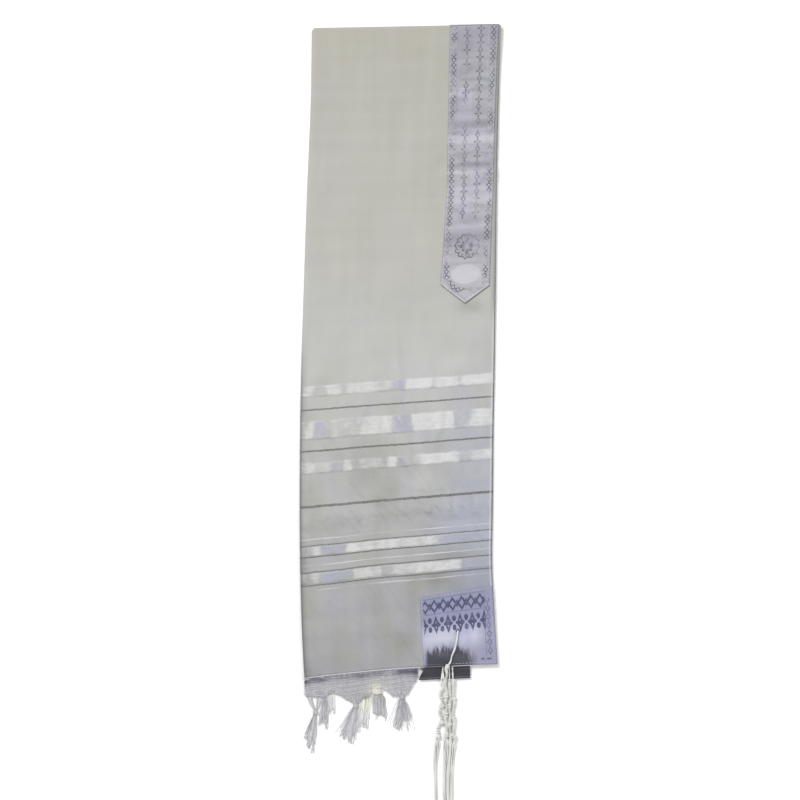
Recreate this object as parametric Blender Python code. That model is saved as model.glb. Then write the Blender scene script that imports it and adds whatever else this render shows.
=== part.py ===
"""Tallit prayer shawl, folded in four and lying flat.

The cloth is folded once across its length (the top fold, at +Y) and once along it (the long
fold, at -X), so four layers lie on each other, with the four corners together at +X, -Y.
+Z is up, the underside rests on z = 0, and all sizes are in metres.
"""

import math
from collections import namedtuple

import bmesh
import bpy
import numpy as np
from mathutils import Vector

MM = 0.001

# ---------------------------------------------------------------- driving sizes

WALL = 1.2 * MM               # one layer of cloth
TRIM_WALL = 1.0 * MM          # neckband and corner patches
GAP = 0.3 * MM                # between pieces that touch
MERGE = 0.001 * MM            # points nearer than this are one
FRONT_TOP = 5.4 * MM          # height of the shawl's top face, away from folds
LONG_FOLD_REACH = 5.0 * MM    # how far the long fold rolls outside the flat cloth
TOP_FOLD_REACH = 4.4 * MM
FOLD_FLAP = 6.0 * MM          # stretch of the roll that lies flat on the surface
Loft = namedtuple("Loft", "height reach")
LONG_FOLD_LOFT = Loft(2.4 * MM, 22 * MM)   # a fold springs up by this, over this distance in
TOP_FOLD_LOFT = Loft(3.0 * MM, 30 * MM)
LOFT_OVERLAP = 0.42           # share of the height lost where both folds spring up

# Outline of the folded shawl, from the top fold down. y and x_left belong to the long fold,
# x_right to the selvedges; rise is how much higher the right end of the row lies, and bow how
# far the middle of the row arches up.
Station = namedtuple("Station", "y x_left x_right rise bow")
OUTLINE = (
    Station(0.3801, -0.1024, 0.1208, 0.0041, 0.0),
    Station(0.2960, -0.1036, 0.1178, 0.0065, 0.0),
    Station(0.1776, -0.1085, 0.1154, 0.0107, 0.0),
    Station(0.0829, -0.1117, 0.1143, 0.0130, 0.0),
    Station(-0.0355, -0.1154, 0.1125, 0.0160, 0.0),
    Station(-0.1184, -0.1166, 0.1110, 0.0178, 0.0),
    Station(-0.2131, -0.1168, 0.1101, 0.0201, 0.0005),
    Station(-0.2723, -0.1160, 0.1095, 0.0222, 0.0012),
    Station(-0.3315, -0.1143, 0.1131, 0.0195, 0.0020),
    Station(-0.3873, -0.1115, 0.1170, 0.0160, 0.0032),
)

# Soft folds of the cloth: a low ridge, or a trough where height is negative, along a line.
Fold = namedtuple("Fold", "x0 y0 x1 y1 reach height")
FOLDS = (
    Fold(-0.004, 0.020, 0.012, -0.300, 0.016, 1.3 * MM),
    Fold(-0.062, -0.040, -0.072, -0.350, 0.018, 1.0 * MM),
    Fold(0.062, -0.020, 0.070, -0.190, 0.015, 1.1 * MM),
    Fold(-0.030, 0.330, -0.050, 0.120, 0.024, 0.9 * MM),
    Fold(0.055, 0.206, 0.118, 0.209, 0.007, 1.5 * MM),
    Fold(0.052, 0.220, 0.118, 0.222, 0.006, -0.8 * MM),
    Fold(0.024, -0.181, 0.056, -0.192, 0.008, 1.4 * MM),
    Fold(0.020, -0.196, 0.050, -0.170, 0.007, -0.6 * MM),
    Fold(0.046, -0.268, 0.108, -0.288, 0.010, 1.5 * MM),
    Fold(-0.100, -0.240, -0.040, -0.262, 0.012, 0.8 * MM),
    Fold(0.058, -0.366, 0.058, -0.384, 0.020, 3.2 * MM),
)

# Columns of the front layer, as shares of its width, at distances down from the top fold. The
# tenth to fourteenth carry the neckband's edges and point, the ninth the corner patch's edge,
# and the eighth and twelfth the ends of the hidden corner that sticks out.
COLUMNS = (
    (0.000, (0, .09, .18, .27, .36, .45, .53, .60, .665, .732, .797, .861, .926, .990, 1)),
    (0.202, (0, .09, .18, .27, .36, .45, .53, .60, .670, .741, .802, .863, .924, .984, 1)),
    (0.314, (0, .09, .18, .27, .36, .45, .53, .59, .655, .717, .782, .847, .909, .970, 1)),
    (0.670, (0, .10, .20, .30, .40, .50, .59, .604, .620, .700, .780, .8586, .872, .94, 1)),
    (0.7674, (0, .10, .20, .30, .40, .50, .59, .604, .620, .700, .780, .8586, .872, .94, 1)),
)
BAND_FIRST, BAND_POINT, BAND_LAST = 9, 11, 13
PATCH_FIRST = 8
CORNER_FIRST, CORNER_LAST = 7, 11
NEAR_SELVEDGE = 13

# Stretches of rows, each ending at a distance down from the top fold: its place at the long
# fold, how much further down it lies at the selvedge, and its number of rows.
Stretch = namedtuple("Stretch", "name end tilt rows")
STRETCHES = (
    Stretch("above the crease", 0.150, 0.0, 7),
    Stretch("crease", 0.190, 0.0, 6),
    Stretch("neckband", 0.3014, 0.0158, 5),
    Stretch("neckband point", 0.3233, 0.0158, 1),
    Stretch("plain", 0.480, 0.0, 6),
    Stretch("stripes", 0.6988, -0.0188, 11),
    Stretch("patch", 0.7674, 0.0, 7),
)

# Sections of the two folds, as shares of the fold's reach and of the cloth's height there. The
# top fold is two folds on each other, with a groove between them.
LONG_FOLD_SECTION = ((0.50, 0.93), (0.80, 0.80), (0.96, 0.64), (1.00, 0.50), (0.96, 0.36),
                     (0.80, 0.20), (0.50, 0.07), (0.00, 0.00))
TOP_FOLD_SECTION = ((0.62, 0.97), (0.95, 0.87), (1.00, 0.72), (0.78, 0.60), (0.42, 0.50),
                    (0.82, 0.38), (1.00, 0.20), (0.70, 0.00))
BAND_FOLD_STEPS = 4               # the neckband follows this many of them

# The hidden layers' edges, measured outwards from the front layer's edge.
HIDDEN_INSET_LONG = LONG_FOLD_REACH + 1.0 * MM
HIDDEN_INSET_TOP = TOP_FOLD_REACH + 2.0 * MM
HIDDEN_INSET_SIDE = 8.0 * MM
HIDDEN_INSET_HEM = 6.0 * MM
GROOVE = 1.7 * MM
LAYER_PITCH = 1.3 * MM
SELVEDGE_REACH = (0.4 * MM, 1.4 * MM, 0.6 * MM)    # second, third and fourth layer
HEM_REACH = (-1.5 * MM, -2.5 * MM, -1.0 * MM)
CORNER_HEM_REACH = (-6.2 * MM, 16.0 * MM, 15.0 * MM)   # where a hidden corner sticks out

# Trims
BAND_CLEAR = 0.35 * MM        # between the neckband and the front layer where it rolls over
EYELET = (0.0701, -0.3319)
EYELET_RADIUS = 2.4 * MM
UNDER_PATCH_X = (0.0268, 0.0845)
UNDER_PATCH_TUCK = 5.0 * MM
UNDER_PATCH_REACH = 15.7 * MM

# Fringe: unwoven warp runs from a narrow strip at the hem into knots.
STRIP_DEPTH = 2.5 * MM
STRIP_WALL = 1.2 * MM
YARN_WIDTH = 1.6 * MM
YARNS_PER_TASSEL = 5
Knot = namedtuple("Knot", "half_width half_height z yarn_row levels")
FRONT_KNOT = Knot(3.4 * MM, 1.6 * MM, 2.1 * MM, 1, (0.95 * MM, 2.3 * MM))
UNDER_KNOT = Knot(3.0 * MM, 1.1 * MM, 1.6 * MM, 0, (0.95 * MM, 2.2 * MM))
KNOT_LENGTH = 6.5 * MM
STRAND_HALF = 0.5 * MM
STRANDS_HALF_WIDTH = 2.6 * MM      # five strands side by side take at least this
Tassel = namedtuple("Tassel", "name knot_x knot_y tip_x tip_y spread")
FRONT_TASSELS = (
    Tassel("first", -0.0977, -0.4245, -0.1066, -0.4745, 0.0050),
    Tassel("second", -0.0862, -0.4040, -0.0890, -0.4500, 0.0052),
    Tassel("third", -0.0498, -0.4185, -0.0630, -0.4650, 0.0058),
    Tassel("fourth", -0.0232, -0.4030, -0.0255, -0.4380, 0.0062),
    Tassel("fifth", 0.0041, -0.4080, 0.0075, -0.4510, 0.0085),
)
UNDER_TASSELS = (
    Tassel("first", -0.0768, -0.4010, -0.0775, -0.4350, 0.0020),
    Tassel("second", -0.0397, -0.4130, -0.0408, -0.4535, 0.0040),
)
FRONT_STRIP_X = (-0.1090, 0.0235)
UNDER_STRIP_X = (-0.0930, -0.0230)
UNDER_STRIP_Z = 1.1 * MM
UNDER_STRIP_TUCK = 0.6 * MM

# Tzitzit: cord, five double knots with windings between, then eight loose strings.
# Each row is a station along the cord: place, half width and half height.
Cord = namedtuple("Cord", "x y z half_width half_height")
Loose = namedtuple("Loose", "x y half_width")


def cord_rows(rows):
    """Read a tassel's stations, written in millimetres."""
    return [Cord(*(value * MM for value in row)) for row in rows]


def loose_rows(rows):
    """Read the loose strings' stations, written in millimetres."""
    return [Loose(*(value * MM for value in row)) for row in rows]


TZITZIT = {
    "tzitzit_front": (
        cord_rows((
            (70.1, -331.8, 5.2, 0.9, 0.9), (70.0, -333.2, 8.3, 1.0, 0.9),
            (69.0, -340.0, 9.3, 1.0, 0.9), (66.8, -351.0, 10.2, 1.0, 0.9),
            (61.6, -365.5, 11.4, 1.1, 1.0), (57.6, -373.0, 11.7, 1.8, 1.4),
            (56.6, -379.5, 9.4, 1.5, 1.2), (56.4, -389.0, 6.4, 1.6, 1.4),
            (56.5, -400.0, 3.8, 1.6, 1.5), (57.2, -409.0, 2.4, 2.3, 1.9),
            (56.9, -417.0, 2.2, 1.6, 1.6), (56.3, -431.0, 2.3, 2.3, 1.9),
            (57.0, -442.0, 2.2, 1.6, 1.6), (57.4, -455.0, 2.3, 2.4, 1.9),
            (57.2, -459.5, 2.2, 2.6, 1.7))),
        loose_rows(((57.0, -466.0, 2.5), (56.4, -482.0, 2.3), (55.2, -503.0, 2.4),
                    (55.6, -530.0, 2.5), (56.8, -556.0, 2.6), (56.2, -584.0, 2.8))),
    ),
    "tzitzit_left": (
        cord_rows((
            (53.0, -370.6, 5.1, 0.9, 0.8), (52.0, -379.0, 5.2, 1.1, 0.9),
            (51.6, -389.0, 5.7, 1.5, 1.3), (51.4, -399.5, 3.4, 1.6, 1.6),
            (50.6, -409.0, 2.2, 1.5, 1.5), (50.4, -421.0, 2.3, 2.2, 1.9),
            (50.0, -430.0, 2.2, 1.5, 1.5), (50.2, -441.0, 2.4, 2.3, 1.9),
            (47.4, -450.0, 2.2, 1.6, 1.6), (46.6, -457.5, 2.2, 2.4, 1.9),
            (46.2, -461.5, 2.2, 2.6, 1.7))),
        loose_rows(((45.8, -467.0, 2.5), (44.6, -482.0, 2.5), (43.7, -500.0, 2.7),
                    (44.0, -526.0, 2.9), (45.4, -552.0, 2.8), (45.0, -575.0, 3.0))),
    ),
    "tzitzit_middle": (
        cord_rows((
            (60.2, -370.6, 5.1, 0.9, 0.8), (60.8, -379.0, 5.2, 1.1, 0.9),
            (61.4, -389.0, 5.7, 1.4, 1.3), (62.0, -399.5, 3.4, 1.5, 1.5),
            (62.4, -411.0, 2.2, 1.5, 1.5), (62.4, -421.0, 2.3, 2.1, 1.9),
            (62.2, -431.0, 2.2, 1.5, 1.5), (62.7, -443.0, 2.3, 2.1, 1.9),
            (63.3, -456.0, 2.2, 2.2, 1.9), (63.4, -461.0, 2.2, 2.5, 1.7))),
        loose_rows(((63.2, -467.0, 2.4), (62.4, -483.0, 2.3), (61.2, -503.0, 2.4),
                    (61.7, -530.0, 2.5), (63.4, -560.0, 2.7), (63.0, -590.0, 2.8))),
    ),
    "tzitzit_right": (
        cord_rows((
            (64.6, -370.6, 5.1, 0.9, 0.8), (65.6, -379.0, 5.2, 1.1, 0.9),
            (66.8, -389.0, 5.7, 1.5, 1.3), (67.6, -399.5, 3.4, 1.6, 1.6),
            (67.9, -413.0, 2.3, 2.2, 1.9), (67.7, -424.0, 2.2, 1.6, 1.6),
            (67.9, -436.0, 2.3, 2.2, 1.9), (68.4, -447.0, 2.2, 1.6, 1.6),
            (69.0, -458.0, 2.3, 2.2, 1.9), (69.1, -462.5, 2.2, 2.5, 1.7))),
        loose_rows(((69.0, -469.0, 2.4), (68.6, -484.0, 2.3), (67.6, -504.0, 2.4),
                    (68.0, -530.0, 2.5), (70.2, -556.0, 2.7), (71.0, -579.0, 2.9))),
    ),
}
STRING_HALF = 0.5 * MM
STRING_LEVELS = (0.95 * MM, 2.3 * MM)

CLOTH = ("cloth", (0.52, 0.52, 0.49), 0.85)
SATIN = ("satin", (0.60, 0.59, 0.66), 0.45)
PATCH = ("patch_satin", (0.36, 0.37, 0.50), 0.5)
DARK_PATCH = ("dark_patch_satin", (0.09, 0.09, 0.13), 0.6)
YARN = ("fringe_yarn", (0.62, 0.61, 0.62), 0.9)
CORD = ("tzitzit_cord", (0.74, 0.74, 0.72), 0.8)


# ---------------------------------------------------------------- the folded cloth's surface

def through(stations, values, at):
    """A smooth curve through a table: cubic pieces whose slopes are those of the neighbours."""
    stations = np.asarray(stations, float)
    values = np.asarray(values, float)
    slopes = np.gradient(values, stations)
    at = np.clip(np.asarray(at, float), stations[0], stations[-1])
    low = np.clip(np.searchsorted(stations, at, side="right") - 1, 0, len(stations) - 2)
    step = stations[low + 1] - stations[low]
    t = (at - stations[low]) / step
    return ((2 * t ** 3 - 3 * t ** 2 + 1) * values[low] + (t ** 3 - 2 * t ** 2 + t) * step * slopes[low]
            + (3 * t ** 2 - 2 * t ** 3) * values[low + 1] + (t ** 3 - t ** 2) * step * slopes[low + 1])


DOWN = [(OUTLINE[0].y - row.y) / (OUTLINE[0].y - OUTLINE[-1].y) for row in OUTLINE]


def outline(name, down):
    """One column of the outline table at a place down the shawl, 0 at the top and 1 at the hem."""
    return through(DOWN, [getattr(row, name) for row in OUTLINE], down)


def plan(across, down):
    """Place on the surface of a point of the shawl: across 0 to 1 from the long fold to the
    selvedge, down 0 to 1 from the top fold to the hem."""
    left = outline("x_left", down)
    x = left + (outline("x_right", down) - left) * across
    y = outline("y", down) + outline("rise", down) * across + outline("bow", down) * np.sin(math.pi * across)
    return x, y


def relief(x, y):
    """Height that the soft folds add: each falls off from its line as exp(-(distance/reach)^2)."""
    total = np.zeros_like(x)
    for fold in FOLDS:
        run = np.array((fold.x1 - fold.x0, fold.y1 - fold.y0))
        along = ((x - fold.x0) * run[0] + (y - fold.y0) * run[1]) / (run @ run)
        along = np.clip(along, 0.0, 1.0)
        distance = np.hypot(x - fold.x0 - along * run[0], y - fold.y0 - along * run[1])
        total = total + fold.height * np.exp(-(distance / fold.reach) ** 2)
    return total


def top_height(across, down):
    """Height of the front layer's top face, with its soft folds and the spring at both folds."""
    x, y = plan(across, down)
    from_long_fold = x - outline("x_left", down)
    from_top_fold = plan(across, np.zeros_like(down))[1] - y
    spring = sum(loft.height * np.exp(-(distance / loft.reach) ** 2)
                 for loft, distance in ((LONG_FOLD_LOFT, from_long_fold), (TOP_FOLD_LOFT, from_top_fold)))
    spring = spring * (1 - LOFT_OVERLAP * spring / (LONG_FOLD_LOFT.height + TOP_FOLD_LOFT.height))
    return FRONT_TOP + relief(x, y) + spring


def inset_across(distance, down):
    """A distance from the long fold, as a share of the width."""
    return distance / (outline("x_right", down) - outline("x_left", down))


LENGTH_DOWN = OUTLINE[0].y - OUTLINE[-1].y


def front_points():
    """Points of the front layer's top face, rows x columns, and the row where each stretch ends."""
    distances, tilts, ends = [TOP_FOLD_REACH], [0.0], {}
    for stretch in STRETCHES:
        start, start_tilt = distances[-1], tilts[-1]
        for k in range(1, stretch.rows + 1):
            share = k / stretch.rows
            distances.append(start + (stretch.end - start) * share)
            tilts.append(start_tilt + (stretch.tilt - start_tilt) * share)
        ends[stretch.name] = len(distances) - 1
    distances, tilts = np.array(distances)[:, None], np.array(tilts)[:, None]
    stations = [row[0] for row in COLUMNS]
    shares = np.stack([np.interp(distances[:, 0], stations, column)
                       for column in zip(*(row[1] for row in COLUMNS))], axis=1)
    down = (distances + tilts * shares) / LENGTH_DOWN
    start = inset_across(LONG_FOLD_REACH, down)
    across = np.where(shares < start, start, shares)
    x, y = plan(across, down)
    return np.stack([x, y, top_height(across, down)], axis=-1), down, ends


FRONT, FRONT_DOWN, ROW_AT = front_points()


def on_front(row, column, lift=0.0):
    """A point of the front layer's top face between its rows and columns, moved up by lift."""
    r = int(min(math.floor(row), FRONT.shape[0] - 2))
    c = int(min(math.floor(column), FRONT.shape[1] - 2))
    s, t = row - r, column - c
    point = ((1 - s) * ((1 - t) * FRONT[r, c] + t * FRONT[r, c + 1])
             + s * ((1 - t) * FRONT[r + 1, c] + t * FRONT[r + 1, c + 1]))
    return point + np.array((0.0, 0.0, lift))


def lifted(points, lift):
    """Points moved straight up."""
    return points + np.array((0.0, 0.0, lift))


# ---------------------------------------------------------------- mesh helpers

def finish(name, mesh_source, look, sheet=False):
    """Turn a bmesh into a named object with its material, and free the bmesh. A closed body's
    faces are turned outwards, and an open sheet's upwards, before it gets its wall."""
    bmesh.ops.recalc_face_normals(mesh_source, faces=mesh_source.faces[:])
    if sheet and sum(face.normal.z * face.calc_area() for face in mesh_source.faces) < 0:
        bmesh.ops.reverse_faces(mesh_source, faces=mesh_source.faces[:])
    mesh = bpy.data.meshes.new(name)
    mesh_source.to_mesh(mesh)
    mesh_source.free()
    piece = bpy.data.objects.new(name, mesh)
    bpy.context.collection.objects.link(piece)
    mesh.materials.append(material(*look))
    return piece


def material(name, colour, roughness):
    """A plain surface, made once and shared."""
    found = bpy.data.materials.get(name)
    if found:
        return found
    made = bpy.data.materials.new(name)
    made.use_nodes = True
    shader = made.node_tree.nodes["Principled BSDF"]
    shader.inputs["Base Color"].default_value = (*colour, 1.0)
    shader.inputs["Roughness"].default_value = roughness
    return made


def add_grid(mesh, points):
    """Vertices and faces of a rows x columns array of points; returns the vertices in rows."""
    verts = [[mesh.verts.new(point) for point in row] for row in points]
    for upper, lower in zip(verts, verts[1:]):
        for i in range(len(upper) - 1):
            mesh.faces.new((upper[i], lower[i], lower[i + 1], upper[i + 1]))
    return verts


def outwards(vertex, heading, steps):
    """Places reached from an edge vertex by (out, height) steps along a heading in degrees."""
    turn = math.radians(heading)
    return [(vertex.co.x + out * math.cos(turn), vertex.co.y + out * math.sin(turn), height)
            for out, height in steps]


def mitred(vertex, heading, steps, other_heading, other_steps):
    """Places reached at a corner by going out along both of its sides at once."""
    one = outwards(vertex, heading, steps)
    other = outwards(vertex, other_heading, other_steps)
    return [(p[0] + q[0] - vertex.co.x, p[1] + q[1] - vertex.co.y, (p[2] + q[2]) / 2)
            for p, q in zip(one, other)]


def add_skirt(mesh, entries, closed):
    """Carry an edge outwards and down. Each entry is an edge vertex and the places that it is
    carried through. Returns the last vertex of each entry."""
    chains = [[vertex] + [mesh.verts.new(place) for place in places] for vertex, places in entries]
    pairs = list(zip(chains, chains[1:]))
    if closed:
        pairs.append((chains[-1], chains[0]))
    for one, other in pairs:
        if one[0] is not other[0]:
            mesh.faces.new((one[0], one[1], other[1], other[0]))
        else:
            mesh.faces.new((one[0], one[1], other[1]))
        for k in range(1, len(one) - 1):
            mesh.faces.new((one[k], one[k + 1], other[k + 1], other[k]))
    return [chain[-1] for chain in chains]


def between(first, last, count):
    """Shares and headings between two sides, both ends left out."""
    shares = [(i + 1) / (count + 1) for i in range(count)]
    return [(share, first + (last - first) * share) for share in shares]


def add_wall(piece, thickness, inwards):
    """Give an open surface its thickness, on its inner or its outer side."""
    wall = piece.modifiers.new("wall", "SOLIDIFY")
    wall.thickness = thickness
    wall.offset = -1.0 if inwards else 1.0
    wall.use_rim = True


def smooth(piece):
    """Shade the round faces smooth and keep the folded edges sharp."""
    piece.data.shade_smooth()
    piece.data.set_sharp_from_angle(angle=math.radians(50))


# ---------------------------------------------------------------- front layer

# Headings out of three sides, in degrees.
LONG_SIDE, TOP_SIDE, HEM_SIDE = 180.0, 91.0, -86.0


def roll_steps(top, reach, section):
    """The roll of a fold from its top face, as (out, height) steps, ending in a flat flap."""
    return [(out * reach, height * top) for out, height in section] + [(-FOLD_FLAP, 0.0)]


def build_front():
    """The layer that shows, rolled over the long fold and over the top fold to the surface."""
    mesh = bmesh.new()
    verts = add_grid(mesh, FRONT)
    corner = verts[0][0]
    long_steps = roll_steps(corner.co.z, LONG_FOLD_REACH, LONG_FOLD_SECTION)
    top_steps = roll_steps(corner.co.z, TOP_FOLD_REACH, TOP_FOLD_SECTION)
    flap = mitred(corner, LONG_SIDE, long_steps[-1:], TOP_SIDE, top_steps[-1:])
    entries = []
    for row in reversed(verts[1:]):
        steps = roll_steps(row[0].co.z, LONG_FOLD_REACH, LONG_FOLD_SECTION)
        entries.append((row[0], outwards(row[0], LONG_SIDE, steps)))
    sides = [(0.0, LONG_SIDE)] + between(LONG_SIDE, TOP_SIDE, 4) + [(1.0, TOP_SIDE)]
    for share, heading in sides:
        steps = blend_steps(long_steps, top_steps, share)[:-1]
        entries.append((corner, outwards(corner, heading, steps) + flap))
    for vertex in verts[0][1:]:
        steps = roll_steps(vertex.co.z, TOP_FOLD_REACH, TOP_FOLD_SECTION)
        entries.append((vertex, outwards(vertex, TOP_SIDE, steps)))
    add_skirt(mesh, entries, closed=False)
    bmesh.ops.remove_doubles(mesh, verts=mesh.verts, dist=MERGE)
    piece = finish("shawl_front", mesh, CLOTH, sheet=True)
    add_wall(piece, WALL, inwards=True)
    cut_eyelet(piece)
    smooth(piece)
    return piece


def cut_eyelet(piece):
    """Cut the corner's eyelet through a piece."""
    cutter = bpy.data.objects.get("eyelet_cutter")
    if cutter is None:
        mesh = bmesh.new()
        bmesh.ops.create_cone(mesh, cap_ends=True, segments=10, radius1=EYELET_RADIUS,
                              radius2=EYELET_RADIUS, depth=6 * MM)
        bmesh.ops.translate(mesh, verts=mesh.verts, vec=(*EYELET, 6.6 * MM))
        cutter = finish("eyelet_cutter", mesh, CLOTH)
        cutter.hide_render = True
        cutter.display_type = "WIRE"
    hole = piece.modifiers.new("eyelet", "BOOLEAN")
    hole.operation = "DIFFERENCE"
    hole.object = cutter


# ---------------------------------------------------------------- hidden layers

def inner_fold_steps(top, reach, inset, roll_reach):
    """Edge of the hidden layers inside a roll: the inner fold, then back over the roll's flap."""
    low = WALL + 0.5 * MM
    height = top - low
    back = inset - roll_reach - FOLD_FLAP - GAP
    return [(0.5 * reach, top - 0.08 * height), (0.85 * reach, top - 0.28 * height),
            (reach, top - 0.5 * height), (0.85 * reach, top - 0.74 * height),
            (0.5 * reach, low + 0.06 * height), (0.1 * reach, low), (back, low - 0.05 * MM), (back, 0.0)]


def long_fold_steps(top):
    """Edge of the hidden layers inside the long fold."""
    return inner_fold_steps(top, HIDDEN_INSET_LONG - WALL - 0.9 * MM, HIDDEN_INSET_LONG, LONG_FOLD_REACH)


def top_fold_steps(top):
    """Edge of the hidden layers inside the top fold, clear of its groove."""
    return inner_fold_steps(top, 1.6 * MM, HIDDEN_INSET_TOP, TOP_FOLD_REACH)


def layer_steps(top, inset, reaches):
    """Edge of the hidden layers where three cut edges lie on each other."""
    second, third, fourth = (inset + reach for reach in reaches)
    upper = 2 * LAYER_PITCH
    return [(second, top - 0.25 * MM), (second, upper + 0.15 * MM),
            (min(second, third) - GROOVE, upper), (third, upper - 0.15 * MM),
            (third, LAYER_PITCH + 0.15 * MM), (min(third, fourth) - GROOVE, LAYER_PITCH),
            (fourth, LAYER_PITCH - 0.15 * MM), (fourth, 0.0)]


def blend_steps(one, other, share):
    """Steps between two kinds of edge."""
    return [tuple(a + (b - a) * share for a, b in zip(p, q)) for p, q in zip(one, other)]


def selvedge_reaches(down):
    """How far each hidden selvedge lies outside the front one: it wanders a little."""
    sway = 0.5 * MM * math.sin(9.0 * down) + 0.3 * MM * math.sin(23.0 * down + 1.0)
    calm = min(1.0, down / 0.12, (1.0 - down) / 0.16)
    return [reach * calm + sway * factor - 1.2 * MM * (1.0 - calm)
            for reach, factor in zip(SELVEDGE_REACH, (1.0, 0.6, -0.8))]


def hem_reaches(column):
    """How far each hidden hem lies outside the front one, with the corner that sticks out."""
    return CORNER_HEM_REACH if CORNER_FIRST <= column <= CORNER_LAST else HEM_REACH


def hidden_place(row, column):
    """Row and column, as fractions, of a point of the hidden layers' top face: those of the front
    layer's own point, drawn in from the edges by the hidden insets."""
    last_row, last_column = FRONT.shape[0] - 1, FRONT.shape[1] - 1
    flat = FRONT[:, :, :2]
    across_at, down_at = float(column), float(row)
    if column == 0:
        step = np.linalg.norm(flat[row, 1] - flat[row, 0])
        across_at = (HIDDEN_INSET_LONG - LONG_FOLD_REACH) / step
    if column == last_column:
        near = np.linalg.norm(flat[row, last_column] - flat[row, NEAR_SELVEDGE])
        step = np.linalg.norm(flat[row, NEAR_SELVEDGE] - flat[row, NEAR_SELVEDGE - 1])
        across_at = last_column - HIDDEN_INSET_SIDE / near
        if HIDDEN_INSET_SIDE > near:
            across_at = NEAR_SELVEDGE - (HIDDEN_INSET_SIDE - near) / step
    if row == 0:
        down_at = (HIDDEN_INSET_TOP - TOP_FOLD_REACH) / np.linalg.norm(flat[1, column] - flat[0, column])
    if row == last_row:
        near = np.linalg.norm(flat[last_row, column] - flat[last_row - 1, column])
        step = np.linalg.norm(flat[last_row - 1, column] - flat[last_row - 2, column])
        down_at = last_row - HIDDEN_INSET_HEM / near
        if HIDDEN_INSET_HEM > near:
            down_at = last_row - 1 - (HIDDEN_INSET_HEM - near) / step
    return down_at, across_at


def build_folded_layers():
    """The three layers below the front one: one solid, with their edges as separate lips."""
    last_row, last_column = FRONT.shape[0] - 1, FRONT.shape[1] - 1
    columns = [column for column in range(last_column + 1) if column != NEAR_SELVEDGE]
    rows = range(last_row + 1)
    points = [[on_front(*hidden_place(row, column), -WALL - GAP) for column in columns] for row in rows]
    mesh = bmesh.new()
    verts = add_grid(mesh, points)

    def kind(side, row, column):
        top = verts[row][column].co.z
        if side == "long":
            return long_fold_steps(top)
        if side == "top":
            return top_fold_steps(top)
        if side == "side":
            return layer_steps(top, HIDDEN_INSET_SIDE,
                               selvedge_reaches(float(FRONT_DOWN[rows[row], columns[column]])))
        return layer_steps(top, HIDDEN_INSET_HEM, hem_reaches(columns[column]))

    entries = []

    def side(name, heading, cells):
        for row, column in cells:
            vertex = verts[row][column]
            entries.append((vertex, outwards(vertex, heading, kind(name, row, column))))

    def mitre(row, column, here, heading, there, other_heading):
        vertex = verts[row][column]
        entries.append((vertex, mitred(vertex, heading, kind(here, row, column),
                                       other_heading, kind(there, row, column))))

    end_row, end_column = len(rows) - 1, len(columns) - 1
    side("long", LONG_SIDE, [(row, 0) for row in reversed(range(1, end_row))])
    mitre(0, 0, "long", LONG_SIDE, "top", TOP_SIDE)
    side("top", TOP_SIDE, [(0, column) for column in range(1, end_column)])
    mitre(0, end_column, "top", TOP_SIDE, "side", 0.0)
    side("side", 0.0, [(row, end_column) for row in range(1, end_row + 1)])
    corner = verts[end_row][end_column]
    one, other = kind("side", end_row, end_column), kind("hem", end_row, end_column)
    for share, heading in between(0.0, HEM_SIDE, 3):
        entries.append((corner, outwards(corner, heading, blend_steps(one, other, share))))
    side("hem", HEM_SIDE, [(end_row, column) for column in reversed(range(1, end_column + 1))])
    mitre(end_row, 0, "hem", HEM_SIDE, "long", LONG_SIDE)
    last_ring = add_skirt(mesh, entries, closed=True)
    mesh.faces.new(last_ring)
    piece = finish("shawl_folded_layers", mesh, CLOTH)
    smooth(piece)
    return piece


# ---------------------------------------------------------------- neckband and patches

def build_neckband():
    """The satin neckband: it lies on the front layer, rolls over the top fold between the two
    upper layers, and ends in a point."""
    band = slice(BAND_FIRST, BAND_LAST + 1)
    shoulder = ROW_AT["neckband"]
    rows = [lifted(FRONT[row, band], GAP) for row in range(shoulder + 1)]
    first = FRONT[0, band]
    turn = math.radians(TOP_SIDE)
    rolled = []
    for out, height in TOP_FOLD_SECTION[:BAND_FOLD_STEPS]:
        reach = out * TOP_FOLD_REACH + BAND_CLEAR
        rolled.append(np.stack([first[:, 0] + reach * math.cos(turn), first[:, 1] + reach * math.sin(turn),
                                first[:, 2] * height + GAP * (1 - 2 * (1 - height))], axis=-1))
    mesh = bmesh.new()
    verts = add_grid(mesh, list(reversed(rolled)) + rows)
    point = mesh.verts.new(lifted(FRONT[ROW_AT["neckband point"], BAND_POINT], GAP))
    for one, other in zip(verts[-1], verts[-1][1:]):
        mesh.faces.new((one, point, other))
    piece = finish("neckband", mesh, SATIN, sheet=True)
    add_wall(piece, TRIM_WALL, inwards=False)
    smooth(piece)
    return piece


def build_front_patch():
    """The corner patch that shows: a satin square on the front layer, with its eyelet."""
    mesh = bmesh.new()
    add_grid(mesh, lifted(FRONT[ROW_AT["stripes"]:, PATCH_FIRST:], GAP))
    piece = finish("corner_patch_front", mesh, PATCH, sheet=True)
    add_wall(piece, TRIM_WALL, inwards=False)
    cut_eyelet(piece)
    smooth(piece)
    return piece


def build_under_patch():
    """The patch of the hidden corner that sticks out below the hem, lying on its lip."""
    bottom = 2 * LAYER_PITCH + GAP
    x = np.linspace(*UNDER_PATCH_X, 7)
    hem_y = hem_edge(x)[0]
    turn = math.radians(HEM_SIDE)
    rows = [np.stack([x + out * math.cos(turn), hem_y + out * math.sin(turn), np.full_like(x, bottom)],
                     axis=-1)
            for out in np.linspace(-UNDER_PATCH_TUCK, UNDER_PATCH_REACH, 3)]
    mesh = bmesh.new()
    add_grid(mesh, rows)
    piece = finish("corner_patch_under", mesh, DARK_PATCH, sheet=True)
    add_wall(piece, TRIM_WALL, inwards=False)
    return piece


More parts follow.
